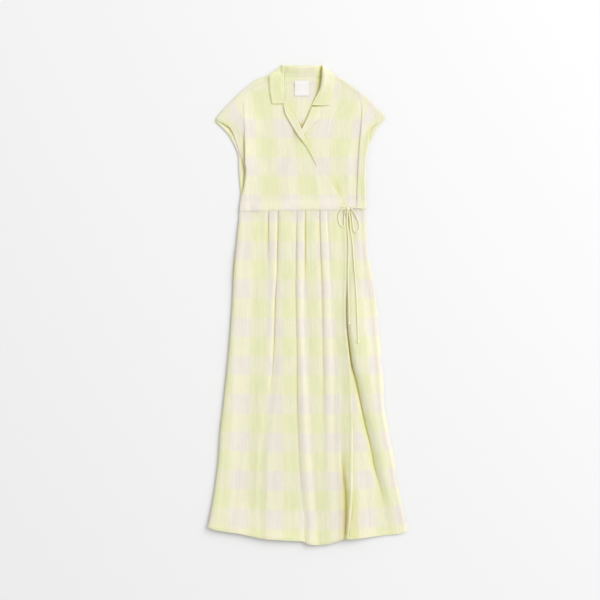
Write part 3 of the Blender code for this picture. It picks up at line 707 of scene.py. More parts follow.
# the long diagonal fold, and the shoulder of the cloth before the side
underFurrows = (
    furrow(
        (272, 84, 0, 0, 14, 0, 20, 1), (-169, 94, 0, 0, 14, 0.2, 20, 1),
        (-225, 94, 0, 0, 14, 1.2, 24, 1), (-279, 95, 0, 0, 14, 2.6, 28, 1),
        (-396, 95, 0, 0.2, 14, 5.2, 30, 0.8), (-458, 101, 0, 0.3, 14, 6.4, 24, 0.4),
        (-497, 106.5, 0, 0.4, 14, 7.4, 17, 0.2), (-533, 110.5, 0, 0.5, 14, 8, 12.5, 0),
        (-584, 112, 0, 0.5, 14, 8.2, 9, 0), (-645, 109.5, 0, 0.5, 14, 8, 8, 0),
        (-680, 107, 0, 0.5, 14, 8, 8, 0)),
    furrow(
        (272, 128, 0, 0.4, 14, 0.6, 16, 1), (150, 124, 0, 0.5, 14, 1.2, 16, 1),
        (60, 114, 0, 0.6, 14, 2.5, 18, 0.8), (5, 110.5, 0, 0.8, 14, 5, 15, 0.2),
        (-56, 111.5, 0, 0.8, 14, 8, 15, 0), (-113, 117.5, 0, 1.4, 18, 9, 16, 0),
        (-157, 123, 0, 2.6, 22, 9, 18, 0), (-211, 136.5, 0, 3.4, 26, 7.8, 21, 0),
        (-262, 147.5, 0, 4, 30, 7.4, 24, 0.1), (-335, 163, 0, 4.2, 32, 7, 27, 0.2),
        (-396, 178, 0, 4.2, 32, 6.6, 28, 0.3), (-458, 190, 0, 4, 32, 6.2, 28, 0.4),
        (-508, 205, 0, 3.8, 34, 5.6, 29, 0.6), (-553, 215, 0, 2.6, 30, 3.8, 28, 0.8),
        (-603, 221, 0, 1.2, 28, 1.8, 26, 1), (-680, 232, 0, 0.3, 24, 0.4, 26, 1)),
    furrow(
        (272, 151, 1, 0.5, 20, 0, 10, 1), (0, 181, 2, 3.6, 40, 0, 10, 1),
        (-99, 190, 6, 5.4, 40, 0, 10, 1), (-197, 198, 7, 5.2, 40, 0, 10, 1),
        (-284, 204, 7.4, 4.2, 36, 0, 10, 1), (-362, 216, 6.6, 3.8, 36, 0, 10, 1),
        (-441, 231, 5.2, 2.8, 34, 0, 10, 1), (-519, 243, 3.2, 1.8, 34, 0, 10, 1),
        (-589, 258, 1.6, 1, 30, 0, 10, 1), (-680, 264, 1, 0.4, 30, 0, 10, 1)))
# middles of the rose columns, which the cloth keeps a repeat apart
underColumns = table(
    "y       inner   outer",
    (262, 80, 150), (152.6, 80, 155.4), (43.4, 86, 169.4), (-63, 98, 187.6),
    (-172.2, 104, 196), (-278.6, 113.4, 208.6), (-382.2, 138.6, 233.8), (-488.6, 163.8, 253.4),
    (-589.4, 170.8, 270.2), (-660, 174, 278))
skirtUnderSettings = {"spacing": 3.6, "wall": 0.7, "crinkle": 0.12, "seed": 21}
skirtUnderCreases = (
    (140, 290, 146, 120, 7, 1.3, 0),
    (157, 280, 163, 30, 6, -1.2, 3),
    (132, 200, 170, -120, 9, 1.2, 4),
    (150, 60, 196, -300, 12, 1.6, 6),
    (176, -40, 214, -420, 9, -1.2, 2),
    (134, -330, 150, -680, 9, 1.4, 2),
    (160, -400, 178, -690, 8, -1.5, 0),
    (200, -480, 222, -690, 9, 1.2, 0),
)


def makeSkirtUnder():
    rowY = skirtRow(lambda x: 4.0 - 3.6 * smoothStep(x, 90.0, 118.0))
    side, sideY = solveLine(skirtSides, "right", rowY)
    line, _ = solveLine(underFurrows[1], "x", rowY)
    valley, _ = solveLine(underFurrows[0], "x", rowY)
    valley = np.minimum(valley, line - 42.0)
    knots = Knots(rowY)
    free = -134.0 - 9.0 * skirtShares
    knots.at(free)
    knots.flat(free, valley - 7.0, 9)
    for offset in (-7.0, -2.5, 0.0, 2.5, 7.0, 13.0):
        knots.at(valley + offset)
    knots.flat(valley + 13.0, line - 24.0, 1)
    for offset in (-24.0, -16.0, -9.0, -4.0):
        knots.at(line + offset)
    knots.mark(read(underColumns, "inner", sideY), 0.0)
    for offset in (0.0, 4.0, 8.0, 12.0, 16.0, 22.0, 28.0):
        knots.at(line + offset)
    knots.flat(line + 28.0, side - 12.0, 2)
    knots.mark(read(underColumns, "outer", sideY), checkRepeat)
    for inward, height in ((12.0, 0.4), (4.0, 0.8), (0.8, 0.3), (0.0, -0.9)):
        knots.at(side - inward, height)

    def shape(x, y):
        inner = smoothStep(read(skirtSides, "right", y) - x, 0.0, 12.0)
        free = 0.5 * creases(x, y, skirtUnderCreases) + 0.4 * softNoise(x, y, 38.0, 120.0, 22)
        raised = furrows(x, y, underFurrows) * inner + free
        return raised * smoothStep(x, 10.0, 80.0) + hemLift(x, y) * smoothStep(x, 70.0, 130.0)

    return layCloth("skirt_under", knots, skirtUnderSettings, skirtDrop, shape, hemRim)


# the pleats, from the side to the front edge: crevices at the waist that open into soft furrows,
# with cloth that climbs steeply to the right of each and falls gently to the next one
overFurrows = (
    furrow(
        (268, -107, 0.4, 0.8, 8, 0.8, 4, 0), (250, -108, 0, 2.2, 14, 2.6, 4.5, 0),
        (215, -108, 0, 2.4, 16, 2.8, 5, 0.1), (170, -108.5, 0.2, 2.2, 20, 2.6, 8, 0.4),
        (120, -110, 1, 1.2, 24, 1.8, 14, 0.8), (70, -111, 2.2, 0.2, 24, 0.6, 16, 1),
        (0, -113, 2.6, 0, 24, 0, 16, 1), (-200, -126, 1.6, 0, 24, 0, 16, 1),
        (-680, -156, 1, 0, 24, 0, 16, 1)),
    furrow(
        (268, -82, 0.4, 0.8, 8, 0.8, 5, 0), (250, -81.5, 0, 2.6, 12, 2.8, 10, 0),
        (213, -81.5, 0, 2.8, 12, 3.4, 13, 0), (150, -82.5, 0, 3, 13, 3.6, 14, 0.1),
        (88, -84, 0, 3.4, 15, 2.8, 14, 0.3), (4, -89, 0, 3.8, 16, 3.2, 16, 0.1),
        (-77, -91, 0, 3.4, 18, 3.4, 18, 0.2), (-186, -96.5, 0, 2.2, 20, 3.4, 20, 0.6),
        (-267, -106.5, 0, 0.8, 20, 3.4, 22, 0.9), (-335, -115.5, 0, 0.4, 20, 3.4, 23, 1),
        (-416, -124.5, 0, 0.4, 20, 3.4, 22, 1), (-491, -131, 0, 0.5, 20, 3.2, 21, 1),
        (-581, -132, 0, 0.5, 20, 3, 20, 1), (-680, -129, 0, 0.5, 20, 2.6, 20, 1)),
    furrow(
        (268, -28, 0.4, 0.8, 10, 0.3, 4, 0), (250, -28.5, 0, 2, 30, 1.4, 5, 0.2),
        (181, -29, 0, 2.2, 40, 2.6, 6, 0.1), (100, -30.5, 0, 2, 45, 3.3, 9, 0.2),
        (60, -31, 0, 1.8, 45, 3.8, 13, 0.3), (-49, -29.5, 0, 1.5, 45, 3.8, 14, 0.35),
        (-158, -27.5, 0, 1.5, 45, 4, 16, 0.35), (-273, -27, 0, 1.6, 45, 4, 18, 0.35),
        (-365, -24, 0, 1.6, 45, 4.2, 20, 0.4), (-427, -21.7, 0, 1.6, 45, 4, 20, 0.5),
        (-491, -18.2, 0, 1.5, 45, 3.6, 19, 0.6), (-559, -12.2, 0, 1.5, 40, 3.4, 18, 0.7),
        (-606, -5.5, 0, 1.4, 40, 3.4, 16, 0.8), (-680, -5, 0, 1.5, 40, 5.5, 14, 0.5)),
    furrow(
        (268, -5, 0.4, 0.8, 8, 0.8, 4, 0), (250, -5, 0, 2.4, 13, 2, 4.5, 0),
        (150, -5, 0, 2.8, 15, 1.9, 5, 0.1), (100, -6, 0, 3.4, 16, 1.5, 9, 0.4),
        (49, -6, 0.2, 4, 17, 1.2, 16, 0.8), (-49, -6, 0.3, 4.2, 18, 1, 24, 1),
        (-130, -2, 0.3, 4.4, 19, 1, 24, 1), (-214, 3, 0.3, 4.4, 20, 1, 24, 1),
        (-304, 8, 0.3, 4.2, 20, 1, 24, 1), (-396, 12, 0.3, 4, 20, 1, 24, 1),
        (-477, 18, 0.3, 3.6, 22, 1, 24, 1), (-559, 27, 0.3, 3.2, 25, 1, 24, 1),
        (-610, 33, 0.3, 3.4, 25, 1, 24, 1), (-680, 38, 0.3, 4.5, 25, 1, 24, 1)),
    furrow(
        (268, 36, 0.4, 0.8, 8, 0.8, 4, 0), (250, 35.5, 0, 2, 14, 2.4, 5, 0),
        (180, 37, 0, 2.1, 16, 2.5, 6, 0.1), (113, 39, 0, 1.9, 18, 2.4, 7, 0.2),
        (49, 42.5, 0, 1.6, 18, 2.3, 8.5, 0.2), (-49, 44, 0, 1.4, 18, 2.6, 9, 0.3),
        (-158, 46, 0, 1.5, 20, 2.9, 10, 0.4), (-230, 47, 0, 1.4, 20, 2.8, 11, 0.5),
        (-304, 46, 0, 1.4, 24, 2.6, 14, 0.7), (-396, 46, 0.2, 1.2, 28, 2.2, 18, 1),
        (-447, 48, 0.5, 0.8, 30, 1.6, 20, 1), (-520, 54, 0.8, 0.4, 30, 0.8, 20, 1),
        (-680, 62, 0.8, 0.2, 30, 0.4, 20, 1)),
    furrow(
        (268, 57, 0.4, 0.6, 8, 0.5, 6, 0), (250, 57.5, 0.2, 2.2, 13, 1, 6, 0),
        (150, 62, 0.2, 2.6, 14, 1, 8, 0.3), (49, 67, 0.2, 3.2, 15, 0.9, 14, 0.8),
        (-28, 70, 0.2, 3.4, 17, 0.8, 16, 1), (-105, 74, 0.2, 3.6, 19, 0.8, 16, 1),
        (-186, 77, 0.2, 3.8, 21, 0.8, 16, 1), (-304, 78, 0.2, 3.2, 23, 0.8, 14, 1),
        (-396, 78, 0.3, 2.4, 24, 0.8, 14, 1), (-480, 80, 0.5, 1.2, 24, 0.7, 14, 1),
        (-600, 86, 0.6, 0.6, 24, 0.6, 14, 1), (-680, 84, 0.6, 0.4, 24, 0.6, 14, 1)),
    furrow(
        (268, 97, 0.6, 0.3, 14, 0.3, 8, 1), (113, 101, 0.5, 0.7, 14, 0.7, 8, 0.8),
        (12, 101, 0.4, 0.8, 14, 0.5, 8, 1), (-57, 101, 0.4, 0.8, 14, 0.4, 10, 1),
        (-113, 100, 0.4, 0.8, 14, 0.5, 16, 1), (-169, 98, 0.4, 0.8, 14, 0.8, 22, 1),
        (-279, 97, 0.3, 0.8, 14, 0.6, 28, 1), (-396, 97, 0, 1, 14, 0.6, 30, 0.8),
        (-458, 102, 0, 1.4, 18, 0.8, 24, 0.4), (-497, 107, 0, 1.8, 18, 1, 17, 0.2),
        (-533, 111, 0, 2.2, 18, 1.2, 12.5, 0), (-584, 112.5, 0, 2.4, 18, 1.6, 9, 0),
        (-645, 110, 0, 2.4, 16, 1.6, 7, 0), (-680, 107.5, 0, 2.4, 16, 1.6, 7, 0)))
overEdge = table(
    "y      x",
    (272, 110.5), (100, 111), (12, 109), (-57, 110.5), (-113, 115.5), (-169, 121),
    (-279, 126.5), (-382, 128.8), (-463, 128), (-533, 127), (-598, 122), (-660, 114.5))
overColumns = table(
    "y       side    one    two    three",
    (262, -173, -92.4, -25.2, 41), (152.6, -174.5, -92.4, -23, 41.4),
    (43.4, -176.5, -89.6, -15.4, 46.2), (-63, -179.2, -89.6, -12.6, 52),
    (-172.2, -182, -86.8, -11.2, 61), (-278.6, -184.8, -86.8, -5.6, 66.5),
    (-382.2, -187.6, -87.5, -1.4, 70), (-488.6, -188.2, -89.6, 2.8, 75.6),
    (-589.4, -189, -89.6, 4.2, 82.6), (-670, -190, -90, 6, 86))
skirtOverSettings = {"spacing": 4.2, "wall": 0.7, "crinkle": 0.12, "seed": 31}
skirtOverCreases = (
    (-150, 300, -152, 120, 7, 1.4, 0),
    (-128, 290, -126, 60, 6, -1.3, 2),
    (-168, 290, -176, -60, 8, -1.2, 2),
    (-60, 300, -58, 40, 7, 1.2, 0),
    (-40, 290, -43, 90, 5, -1.1, 0),
    (14, 300, 16, 20, 6, 1.2, 2),
    (28, 290, 27, 130, 4, -1, 0),
    (76, 300, 80, 60, 7, 1.2, 0),
    (92, 290, 94, -80, 6, -1.1, 1),
    (-140, 20, -160, -420, 10, 1.6, 4),
    (-196, -40, -214, -460, 11, 1.5, 3),
    (-64, -20, -70, -470, 10, 1.6, 3),
    (-48, -260, -44, -690, 8, -1.6, 0),
    (-110, -330, -96, -690, 9, 1.5, 3),
    (-176, -380, -196, -690, 10, 1.8, 2),
    (-232, -420, -244, -690, 9, -1.3, 0),
    (98, -60, 92, -460, 7, 1.2, 2),
    (40, -360, 50, -700, 9, -1.8, 2),
    (104, -360, 98, -690, 6, -1.5, 0),
)


def flatWaist(x, y):
    # 0 at the waist seam, 1 from 40 mm below it
    return smoothStep(waist(x) - y, 0.0, 40.0)


def makeSkirtOver():
    rowY = skirtRow(lambda x: 1.8)
    side, sideY = solveLine(skirtSides, "left", rowY)
    edge, _ = solveLine(overEdge, "x", rowY)
    knots = Knots(rowY)
    for inward, height in ((0.0, 2.6), (0.8, 4.6), (3.5, 6.8), (9.0, 8.0), (16.0, 7.6), (30.0, 5.0),
                           (52.0, 1.6)):
        knots.at(side + inward, height * flatWaist(side, sideY))
    knots.mark(read(overColumns, "side", sideY), 0.0)
    reached = side + 60.0
    marks = {0: ("one", 1), 2: ("two", 2), 4: ("three", 3)}
    for number, line in enumerate(overFurrows):
        place, placeY = solveLine(line, "x", rowY)
        near = np.minimum(np.minimum(place - reached, edge - place - 2.0) / 12.0, 1.0)
        knots.flat(reached, place - 10.0 * near, 2 if number == 0 else 1)
        for offset in (-10.0, -5.5, -2.5, 0.0, 2.5, 5.5, 10.0):
            knots.at(place + offset * near)
        if number in marks:
            column, repeats = marks[number]
            knots.mark(read(overColumns, column, placeY), repeats * checkRepeat)
        reached = place + 10.0 * near
    for share in (0.32, 0.56, 0.76):
        knots.at(reached + share * (edge - reached))
    knots.at(edge - 1.2)
    knots.at(edge, -0.4)

    def shape(x, y):
        inner = smoothStep(x - read(skirtSides, "left", y), 0.0, 56.0)
        # towards the hem the front's edge stands up and turns down in a narrow roll
        past = x - read(overEdge, "x", y)
        bank = smoothStep(past, -13.0, -6.0) - smoothStep(past, -4.5, 0.5)
        roll = 1.7 * smoothStep(-y, 300.0, 400.0) * bank
        free = 0.5 * creases(x, y, skirtOverCreases) + 0.4 * softNoise(x, y, 38.0, 120.0, 32)
        own = hemLift(x, y) * (1.0 - smoothStep(x, 70.0, 130.0))
        return furrows(x, y, overFurrows) * inner + free * flatWaist(x, y) + own + roll

    def seat(x, y):
        near, far = support(x, y, 1, 0), support(x, y, 3, 5)
        wide = 34.0 * smoothStep(-y, 260.0, 460.0)
        return near + (far - near) * smoothStep(read(overEdge, "x", y) - x - wide, 3.0, 18.0)

    def rim(x, y):
        # the front's edge is turned as the hem is
        return hemRim(x, y) + 0.5 * smoothStep(x, read(overEdge, "x", y) - 8.0, read(overEdge, "x", y) - 6.0)

    return layCloth("skirt_over", knots, skirtOverSettings, skirtDrop, shape, rim, seat)


pocketSettings = {"top": 152.0, "length": 90.0, "width": 10.0, "spacing": 2.0, "wall": 0.8,
                  "crinkle": 0.08, "seed": 41, "rows": 40}


def makePocketMouth():
    rows = np.linspace(pocketSettings["top"], pocketSettings["top"] - pocketSettings["length"],
                       pocketSettings["rows"])
    knots = Knots(lambda x: rows)
    outer = read(skirtSides, "left", rows) - 1.5
    bulge = np.sin(math.pi * np.linspace(0.0, 1.0, len(rows)))
    for inward, z in ((0.0, -0.6), (1.0, 0.4), (4.0, 0.8), (7.0, 0.4), (pocketSettings["width"], 0.0)):
        knots.at(outer - 0.8 * bulge + inward, z * bulge)
    knots.mark(outer, 0.0)
    return layCloth("pocket_mouth", knots, pocketSettings, skirtDrop)


backSides = table(
    "y      left    right",
    (262, -187.5, 166.5), (290, -186.5, 165.5), (310, -185.5, 164), (330, -187.5, 163.5),
    (360, -190, 163), (390, -191.5, 164), (412, -192, 166.5), (425, -195, 168.5),
    (444, -202.5, 172.5), (470, -216.5, 184.5), (489, -232, 195.5), (500, -243.5, 204),
    (514, -256, 214.5), (520.5, -252.6, 220), (523, -250.8, 220.5), (527, -247.6, 217),
    (544, -233.5, 200.5),
    (567, -211, 179), (597, -179.5, 145), (620, -151, 111), (645, -101, 73))
frontSides = table(
    "y      left    right",
    (262, -187.5, 166), (300, -185, 164.5), (315, -179.5, 163.5), (346, -174.5, 162.5),
    (376, -173.5, 163), (393, -177, 163.5), (409, -182, 165), (423, -187.5, 167.5),
    (447, -195, 172.5), (469, -202.5, 174), (482, -208.5, 175), (494, -215.5, 179.5),
    (502, -229, 189), (508, -238, 201), (515, -252, 209), (521, -252.5, 217), (526, -248.5, 217.5),
    (544, -233.5, 200.5),
    (567, -211, 179), (597, -179.5, 145), (620, -151, 111), (645, -101, 73))
neckMiddle = -14.0
wrapEdge = table(
    "y      x",
    (262, 108), (284, 100.5), (312, 84), (355, 57.5), (377, 36.5), (396, 26),
    (463, -3), (492, -14.5), (528, -34.5), (556, -51.5), (579, -67), (600, -72),
    (645, -84))
# where the front folds over itself between sleeve and body, and how high its armhole edge stands
drapes = {
    "left": table(
        "y      x        height tuck  lift",
        (262, -176, 0.1, 0, 0.1), (300, -176, 3, 0, 2.4), (340, -171, 6, 0.5, 4),
        (376, -170, 7.6, 1, 1.6), (396, -172.6, 8.4, 2, 1.4), (433, -174, 8.6, 2.5, 1.6),
        (462, -174.6, 8.2, 2.5, 2.6), (489, -175.2, 7.6, 2.5, 4.4), (515, -176.4, 6.4, 2, 4.2),
        (545, -177.6, 4.2, 1, 2.6),
        (575, -178, 1.6, 0, 1.6), (645, -92, 0, 0, 0.5)),
    "right": table(
        "y      x       height tuck  lift",
        (262, 139, 0.4, 0.3, 0.6), (298, 140, 2.8, 1, 4.2), (359, 142, 3.2, 1.5, 4.6),
        (407, 144.5, 3.2, 1.5, 4), (455, 147.5, 3.4, 1.5, 2.4), (503, 151.5, 3.2, 1, 1.6),
        (548, 154, 1.8, 0.6, 1.2), (575, 149, 0, 0, 1), (645, 62, 0, 0, 0.5))}
# middles of the rose columns on both fronts
bodiceColumns = {
    "left": table("y  inner  outer  sleeve", (262, -43, -150, -203), (335, -50.5, -158, -203),
                  (393, -57, -164, -203), (447, -60, -167, -203), (553, -70, -178, -205),
                  (645, -76, -184, -206)),
    "right": table("y  inner  outer  sleeve", (262, 30, 136, 178), (335, 34, 137, 178),
                   (393, 40, 139, 178), (447, 43, 147, 178), (553, 57.5, 162, 178),
                   (645, 64, 168, 180))}
bodiceRows = np.concatenate((np.linspace(259.0, 490.0, 90), np.linspace(492.0, 530.0, 28),
                             np.linspace(532.0, 645.0, 46)))


def bodiceRow(neckRise=0.0):
    # level rows, tilted to the waist seam at the foot and curved to the neck at the top
    low = 1.0 - smoothStep(bodiceRows, 262.0, 322.0)
    high = np.clip((bodiceRows - 605.0) / 40.0, 0.0, 1.0)
    return lambda x: (bodiceRows + low * (waist(x) + 0.2 - waistSettings["y"])
                      + high * neckRise * (((x - neckMiddle) / 90.0) ** 2 - 1.0))


def waistRim(x, y):
    # the seam allowance is pressed up inside the bodice; below the seam the cloth thins out
    above = y - waist(x)
    inside = smoothStep(above, 0.0, 3.0) * (1.0 - smoothStep(above, 7.0, 13.0))
    return 0.2 * inside + 0.25 * np.exp(-((above - 2.0) / 3.0) ** 2) - 0.62 * smoothStep(-above, -1.0, 1.6)


def waistSeat(blur):
    # the bodice follows the skirt closely along the seam and bridges what is under it above
    def seat(x, y):
        above = y - waist(x)
        near = support(x, np.minimum(y, waist(x) - 1.0), 1, 1)
        return near + (support(x, y, 3, blur) - near) * smoothStep(above, 2.0, 30.0)
    return seat


def bodiceLevel(x, y):
    # distance down the bodice's cloth, with level rows
    return 280.0 - y


def bodiceDrop(side):
    # rows of the check: level over the middle, raised on the cap sleeves beyond the drapes
    def drop(x, y):
        line = read(drapes[side], "x", y)
        beyond = (line - x) if side == "left" else (x - line)
        raised = 46.0 * smoothStep(beyond, -2.0, 26.0) * smoothStep(y, 380.0, 470.0)
        shoulder = 27.0 * smoothStep(y, 530.0, 600.0) * smoothStep(-x, 40.0, 90.0)
        return bodiceLevel(x, y) + np.maximum(raised, shoulder)
    return drop


backSettings = {"spacing": 5.0, "wall": 0.7, "crinkle": 0.10, "seed": 51}
backCreases = (
    (-170, 300, -120, 480, 10, 1.1, 6),
    (140, 300, 96, 470, 9, 1, -5),
    (-60, 262, -44, 400, 8, 1, 3),
    (40, 262, 28, 380, 8, 0.9, 2),
    (-196, 540, -110, 470, 12, 1.1, 5),
    (170, 540, 90, 460, 11, 1, -5),
)


def makeBodiceBack():
    knots = Knots(bodiceRow(6.0))
    left, right = read(backSides, "left", bodiceRows), read(backSides, "right", bodiceRows)
    knots.at(left, 0.8)
    knots.at(left + 1.2, 2.6)
    knots.at(left + 0.02 * (right - left), 3.2)
    knots.flat(left, right, 26)
    knots.at(right - 0.02 * (right - left), 1.2)
    knots.at(right, 0.6)
    # the cloth coordinate is 0 at x = -1 mm, counted from the sixteenth line
    knots.marks = [(15, 0.0 * left - 1.0, 0.0)]

    def drop(x, y):
        sleeve = smoothStep(np.abs(x - neckMiddle), 150.0, 190.0) * smoothStep(y, 380.0, 470.0)
        return bodiceLevel(x, y) + 46.0 * sleeve

    def shape(x, y):
        return np.maximum(creases(x, y, backCreases), 0.0)

    return layCloth("bodice_back", knots, backSettings, drop, shape, waistRim)


overBodiceSettings = {"spacing": 3.0, "wall": 0.7, "crinkle": 0.10, "seed": 61, "blur": 6}
overBodiceCreases = (
    (-150, 250, -120, 420, 9, 0.9, 4),
    (-110, 240, -98, 380, 8, -0.9, 2),
    (-60, 240, -52, 400, 9, 1, 2),
    (-14, 240, -24, 360, 8, -0.9, 2),
    (60, 250, 10, 370, 9, 0.9, 3),
    (-200, 560, -130, 470, 12, 1.2, 4),
    (-160, 600, -120, 500, 11, -0.9, 3),
)
underBodiceSettings = {"spacing": 3.0, "wall": 0.7, "crinkle": 0.10, "seed": 71, "blur": 4}
underBodiceCreases = (
    (120, 250, 112, 420, 8, 1, 2),
    (128, 270, 130, 540, 6, -1, 2),
    (80, 330, 96, 480, 9, 0.8, 2),
    (150, 600, 104, 470, 11, 1, 3),
    (100, 600, 70, 500, 10, -0.8, 2),
)


def makeBodiceFront(side):
    # from the armhole, over the drape fold, to the wrap edge; the right front is its mirror
    over = side == "left"
    facing = -1 if over else 1
    outer = read(frontSides, side, bodiceRows) + facing * 0.4
    edge = read(wrapEdge, "x", bodiceRows)
    if not over:
        edge = 2 * neckMiddle - edge
    drape = drapes[side]
    line, height, tuck, lift = (read(drape, column, bodiceRows) for column in ("x", "height", "tuck", "lift"))
    inward = -facing
    room = np.minimum(np.abs(edge - outer) / 60.0, 1.0)
    knots = Knots(bodiceRow(), leftwards=not over)
    sleeve = np.abs(line - outer)
    size = np.minimum(room, sleeve / 16.0)
    columns = bodiceColumns[side]
    if over:
        # the sleeve climbs from its edge to the fold, whose edge hangs over it
        for place, share in ((0.0, 0.1), (0.04, 0.35), (0.2, 0.6), (0.45, 1.0)):
            knots.at(outer + inward * place * sleeve, share * lift)
        knots.mark(read(columns, "sleeve", bodiceRows), -118.0)
        knots.fold(line, facing, tuck, height, 1.3 * lift, size)
        slope = ((14.0, 0.7), (30.0, 0.36), (46.0, 0.1))
    else:
        # the side stands at its edge and falls to the fold, where its own edge faces the body
        for place, share in ((0.0, 0.7), (0.05, 0.95), (0.16, 0.9), (0.4, 0.68)):
            knots.at(outer + inward * place * sleeve, share * lift)
        knots.mark(line + 9.0, -103.0 - 38.0 * (1.0 - smoothStep(bodiceRows, 462.0, 512.0)))
        knots.fold(line, -facing, tuck, height, 0.0, size)
        slope = ((14.0, 0.08), (30.0, 0.06), (46.0, 0.02))
    for reach, share in slope:
        knots.at(line + inward * reach * room, share * height)
    knots.mark(read(columns, "outer", bodiceRows), -checkRepeat)
    knots.mark(read(columns, "inner", bodiceRows), 0.0)
    knots.flat(line + inward * 46.0 * room, edge, 8)
    knots.at(edge + facing * 3.0 * room, 0.5 if over else 0.0)
    knots.at(edge, 0.2 if over else 0.0)
    settings = overBodiceSettings if over else underBodiceSettings
    rows = overBodiceCreases if over else underBodiceCreases
    shape = lambda x, y: 0.6 * creases(x, y, rows) + 0.3 * softNoise(x, y, 45.0, 90.0, settings["seed"] + 2)
    node = "bodice_front_over" if over else "bodice_front_under"
    return layCloth(node, knots, settings, bodiceDrop(side), shape, waistRim, waistSeat(settings["blur"]))


lapelTables = {
    "over": table(
        "y      roll    outer",
        (559, -54, -66), (536, -40, -61), (514, -27.5, -49.5), (480, -11, -29.5),
        (441, 5.5, -1.8), (402, 22.5, 19), (390, 28, 26)),
    "under": table(
        "y      roll    outer",
        (553, 13.5, 36.5), (522, 1, 36), (505, -7.5, 19.5), (485, -17.5, 1),
        (476, -21.5, -8), (464, -26, -25))}
leafTables = {
    "left": table(
        "y      roll    outer",
        (670, -66.5, -71), (655, -66, -87.5), (638, -65.5, -105.5), (605, -64.5, -104.5),
        (580, -64, -100.5), (562, -64.5, -97.5)),
    "right": table(
        "y      roll    outer",
        (670, 43.5, 44.5), (655, 42.5, 63.5), (638, 41.5, 79), (612, 38, 77.5),
        (600, 34.5, 76), (587, 28.5, 74.5), (572, 20.5, 70.5), (557, 13.5, 66))}
standTop = table("x  y", (-66, 669), (-40, 667.5), (-13, 666.5), (15, 667.5), (42, 669))
turnedSettings = {"spacing": 2.0, "wall": 0.8, "crinkle": 0.05, "seed": 81, "rows": 56, "reach": 2,
                  "edge": 0.3}


def makeTurned(node, tab, roll, seed, phase, free, foot=0.0, drop=bodiceLevel):
    # a strip turned over at its roll line: a round edge, then cloth lying down to its free edge,
    # which stands a little proud; it all sinks away at its foot where that runs to a point
    rows = np.linspace(tab["y"].max(), tab["y"].min(), turnedSettings["rows"])
    rollX, outerX = read(tab, "roll", rows), read(tab, "outer", rows)
    width = outerX - rollX
    sign = np.sign(width.mean())
    knots = Knots(lambda x: rows, leftwards=sign < 0)
    small = np.minimum(np.abs(width) / (3.2 * max(roll, 1.2)), 1.0)
    sink = small * smoothStep(np.abs(width), 0.0, 20.0)
    small = small * roll * (1.0 - 0.8 * (1.0 - smoothStep(rows - rows[-1], 0.0, foot)) if foot else 1.0)
    for share, height in ((0.6, 0.0), (0.2, 0.1), (-0.05, 0.6), (0.1, 1.3), (0.8, 1.7), (1.8, 1.4)):
        knots.at(rollX + sign * share * small, height * small)
    knots.mark(rollX, phase)
    inner = rollX + sign * 1.8 * small
    for share, height in ((0.3, 0.9), (0.55, 0.6), (0.8, 0.3)):
        knots.at(inner + (outerX - inner) * share, height * small + share * 0.6 * free * sink)
    knots.at(outerX - sign * np.minimum(2.5, 0.2 * np.abs(width)), free * sink)
    knots.at(outerX, 0.7 * free * sink)
    settings = dict(turnedSettings, seed=seed)
    rim = lambda x, y: turnedSettings["edge"] + 0.0 * x
    return layCloth(node, knots, settings, drop, rim=rim)


def leafDrop(x, y):
    # the left leaf is cut from a deep-toned row, the right one from where that row ends
    return np.where(x < 0.0, 46.0, 23.0) + 0.3 * (612.0 - y)


def makeCollarFall():
    rows = np.linspace(standTop["y"].max(), standTop["y"].max() - 44.0, 24)
    left = read(leafTables["left"], "outer", rows) + 3.0
    right = read(leafTables["right"], "outer", rows) - 3.0
    low = rows <= 638.0
    left = np.where(low, np.maximum(read(backSides, "left", rows) + 4.0, left), left)
    right = np.where(low, np.minimum(read(backSides, "right", rows) - 4.0, right), right)
    knots = Knots(lambda x: rows)
    knots.at(left)
    knots.flat(left, right, 12)
    knots.mark(0.0 * rows, 0.0)
    knots.at(right)
    settings = dict(turnedSettings, seed=83, spacing=8.0)
    return layCloth("collar_fall", knots, settings, bodiceLevel)


def makeCollarStand():
    # inner side of the collar across the back neck, from its roll down to the neck seam
    across = np.linspace(standTop["x"][0], standTop["x"][-1], 60)
    top = read(standTop, "y", across, key="x")
    x, y, z = [], [], []
    ends = 0.35 + 0.65 * smoothStep(np.minimum(across - across[0], across[-1] - across), 0.0, 18.0)
    for inward, height in ((1.6, 1.2), (0.1, 2.6), (0.4, 4.6), (3.0, 6.0), (7.0, 6.0), (13.0, 4.4),
                           (19.0, 2.2), (25.0, 0.5), (28.5, -0.2), (29.5, -0.6)):
        x.append(across)
        y.append(top - inward)
        z.append(height * ends)
    knots = Knots(lambda value: value)
    knots.x, knots.y, knots.z = y, x, z
    weights = splineWeights(np.array(y), np.array(z), 1.6)
    gx, gy, gz = (weights @ np.array(part) for part in (x, y, z))
    gz = gz + support(gx, gy, 2, 1) + 0.3 * softNoise(gx, gy, 12.0, 30.0, 84)
    half = 0.45 - 0.25 * smoothStep(read(standTop, "y", gx, key="x") - gy, 18.0, 28.0)[..., None]
    middle = np.stack((gx, gy, gz + half[..., 0] + pileSettings["gap"]), -1)
    normal = gridNormals(middle)
    upper, lower = middle + normal * half, middle - normal * half
    return laid("collar_stand", upper, lower, gx, bodiceLevel(gx, gy))


labelSettings = {"centre": (-14.5, 605.5), "size": (40.0, 43.0), "wall": 0.5, "stitchesIn": 1.2}


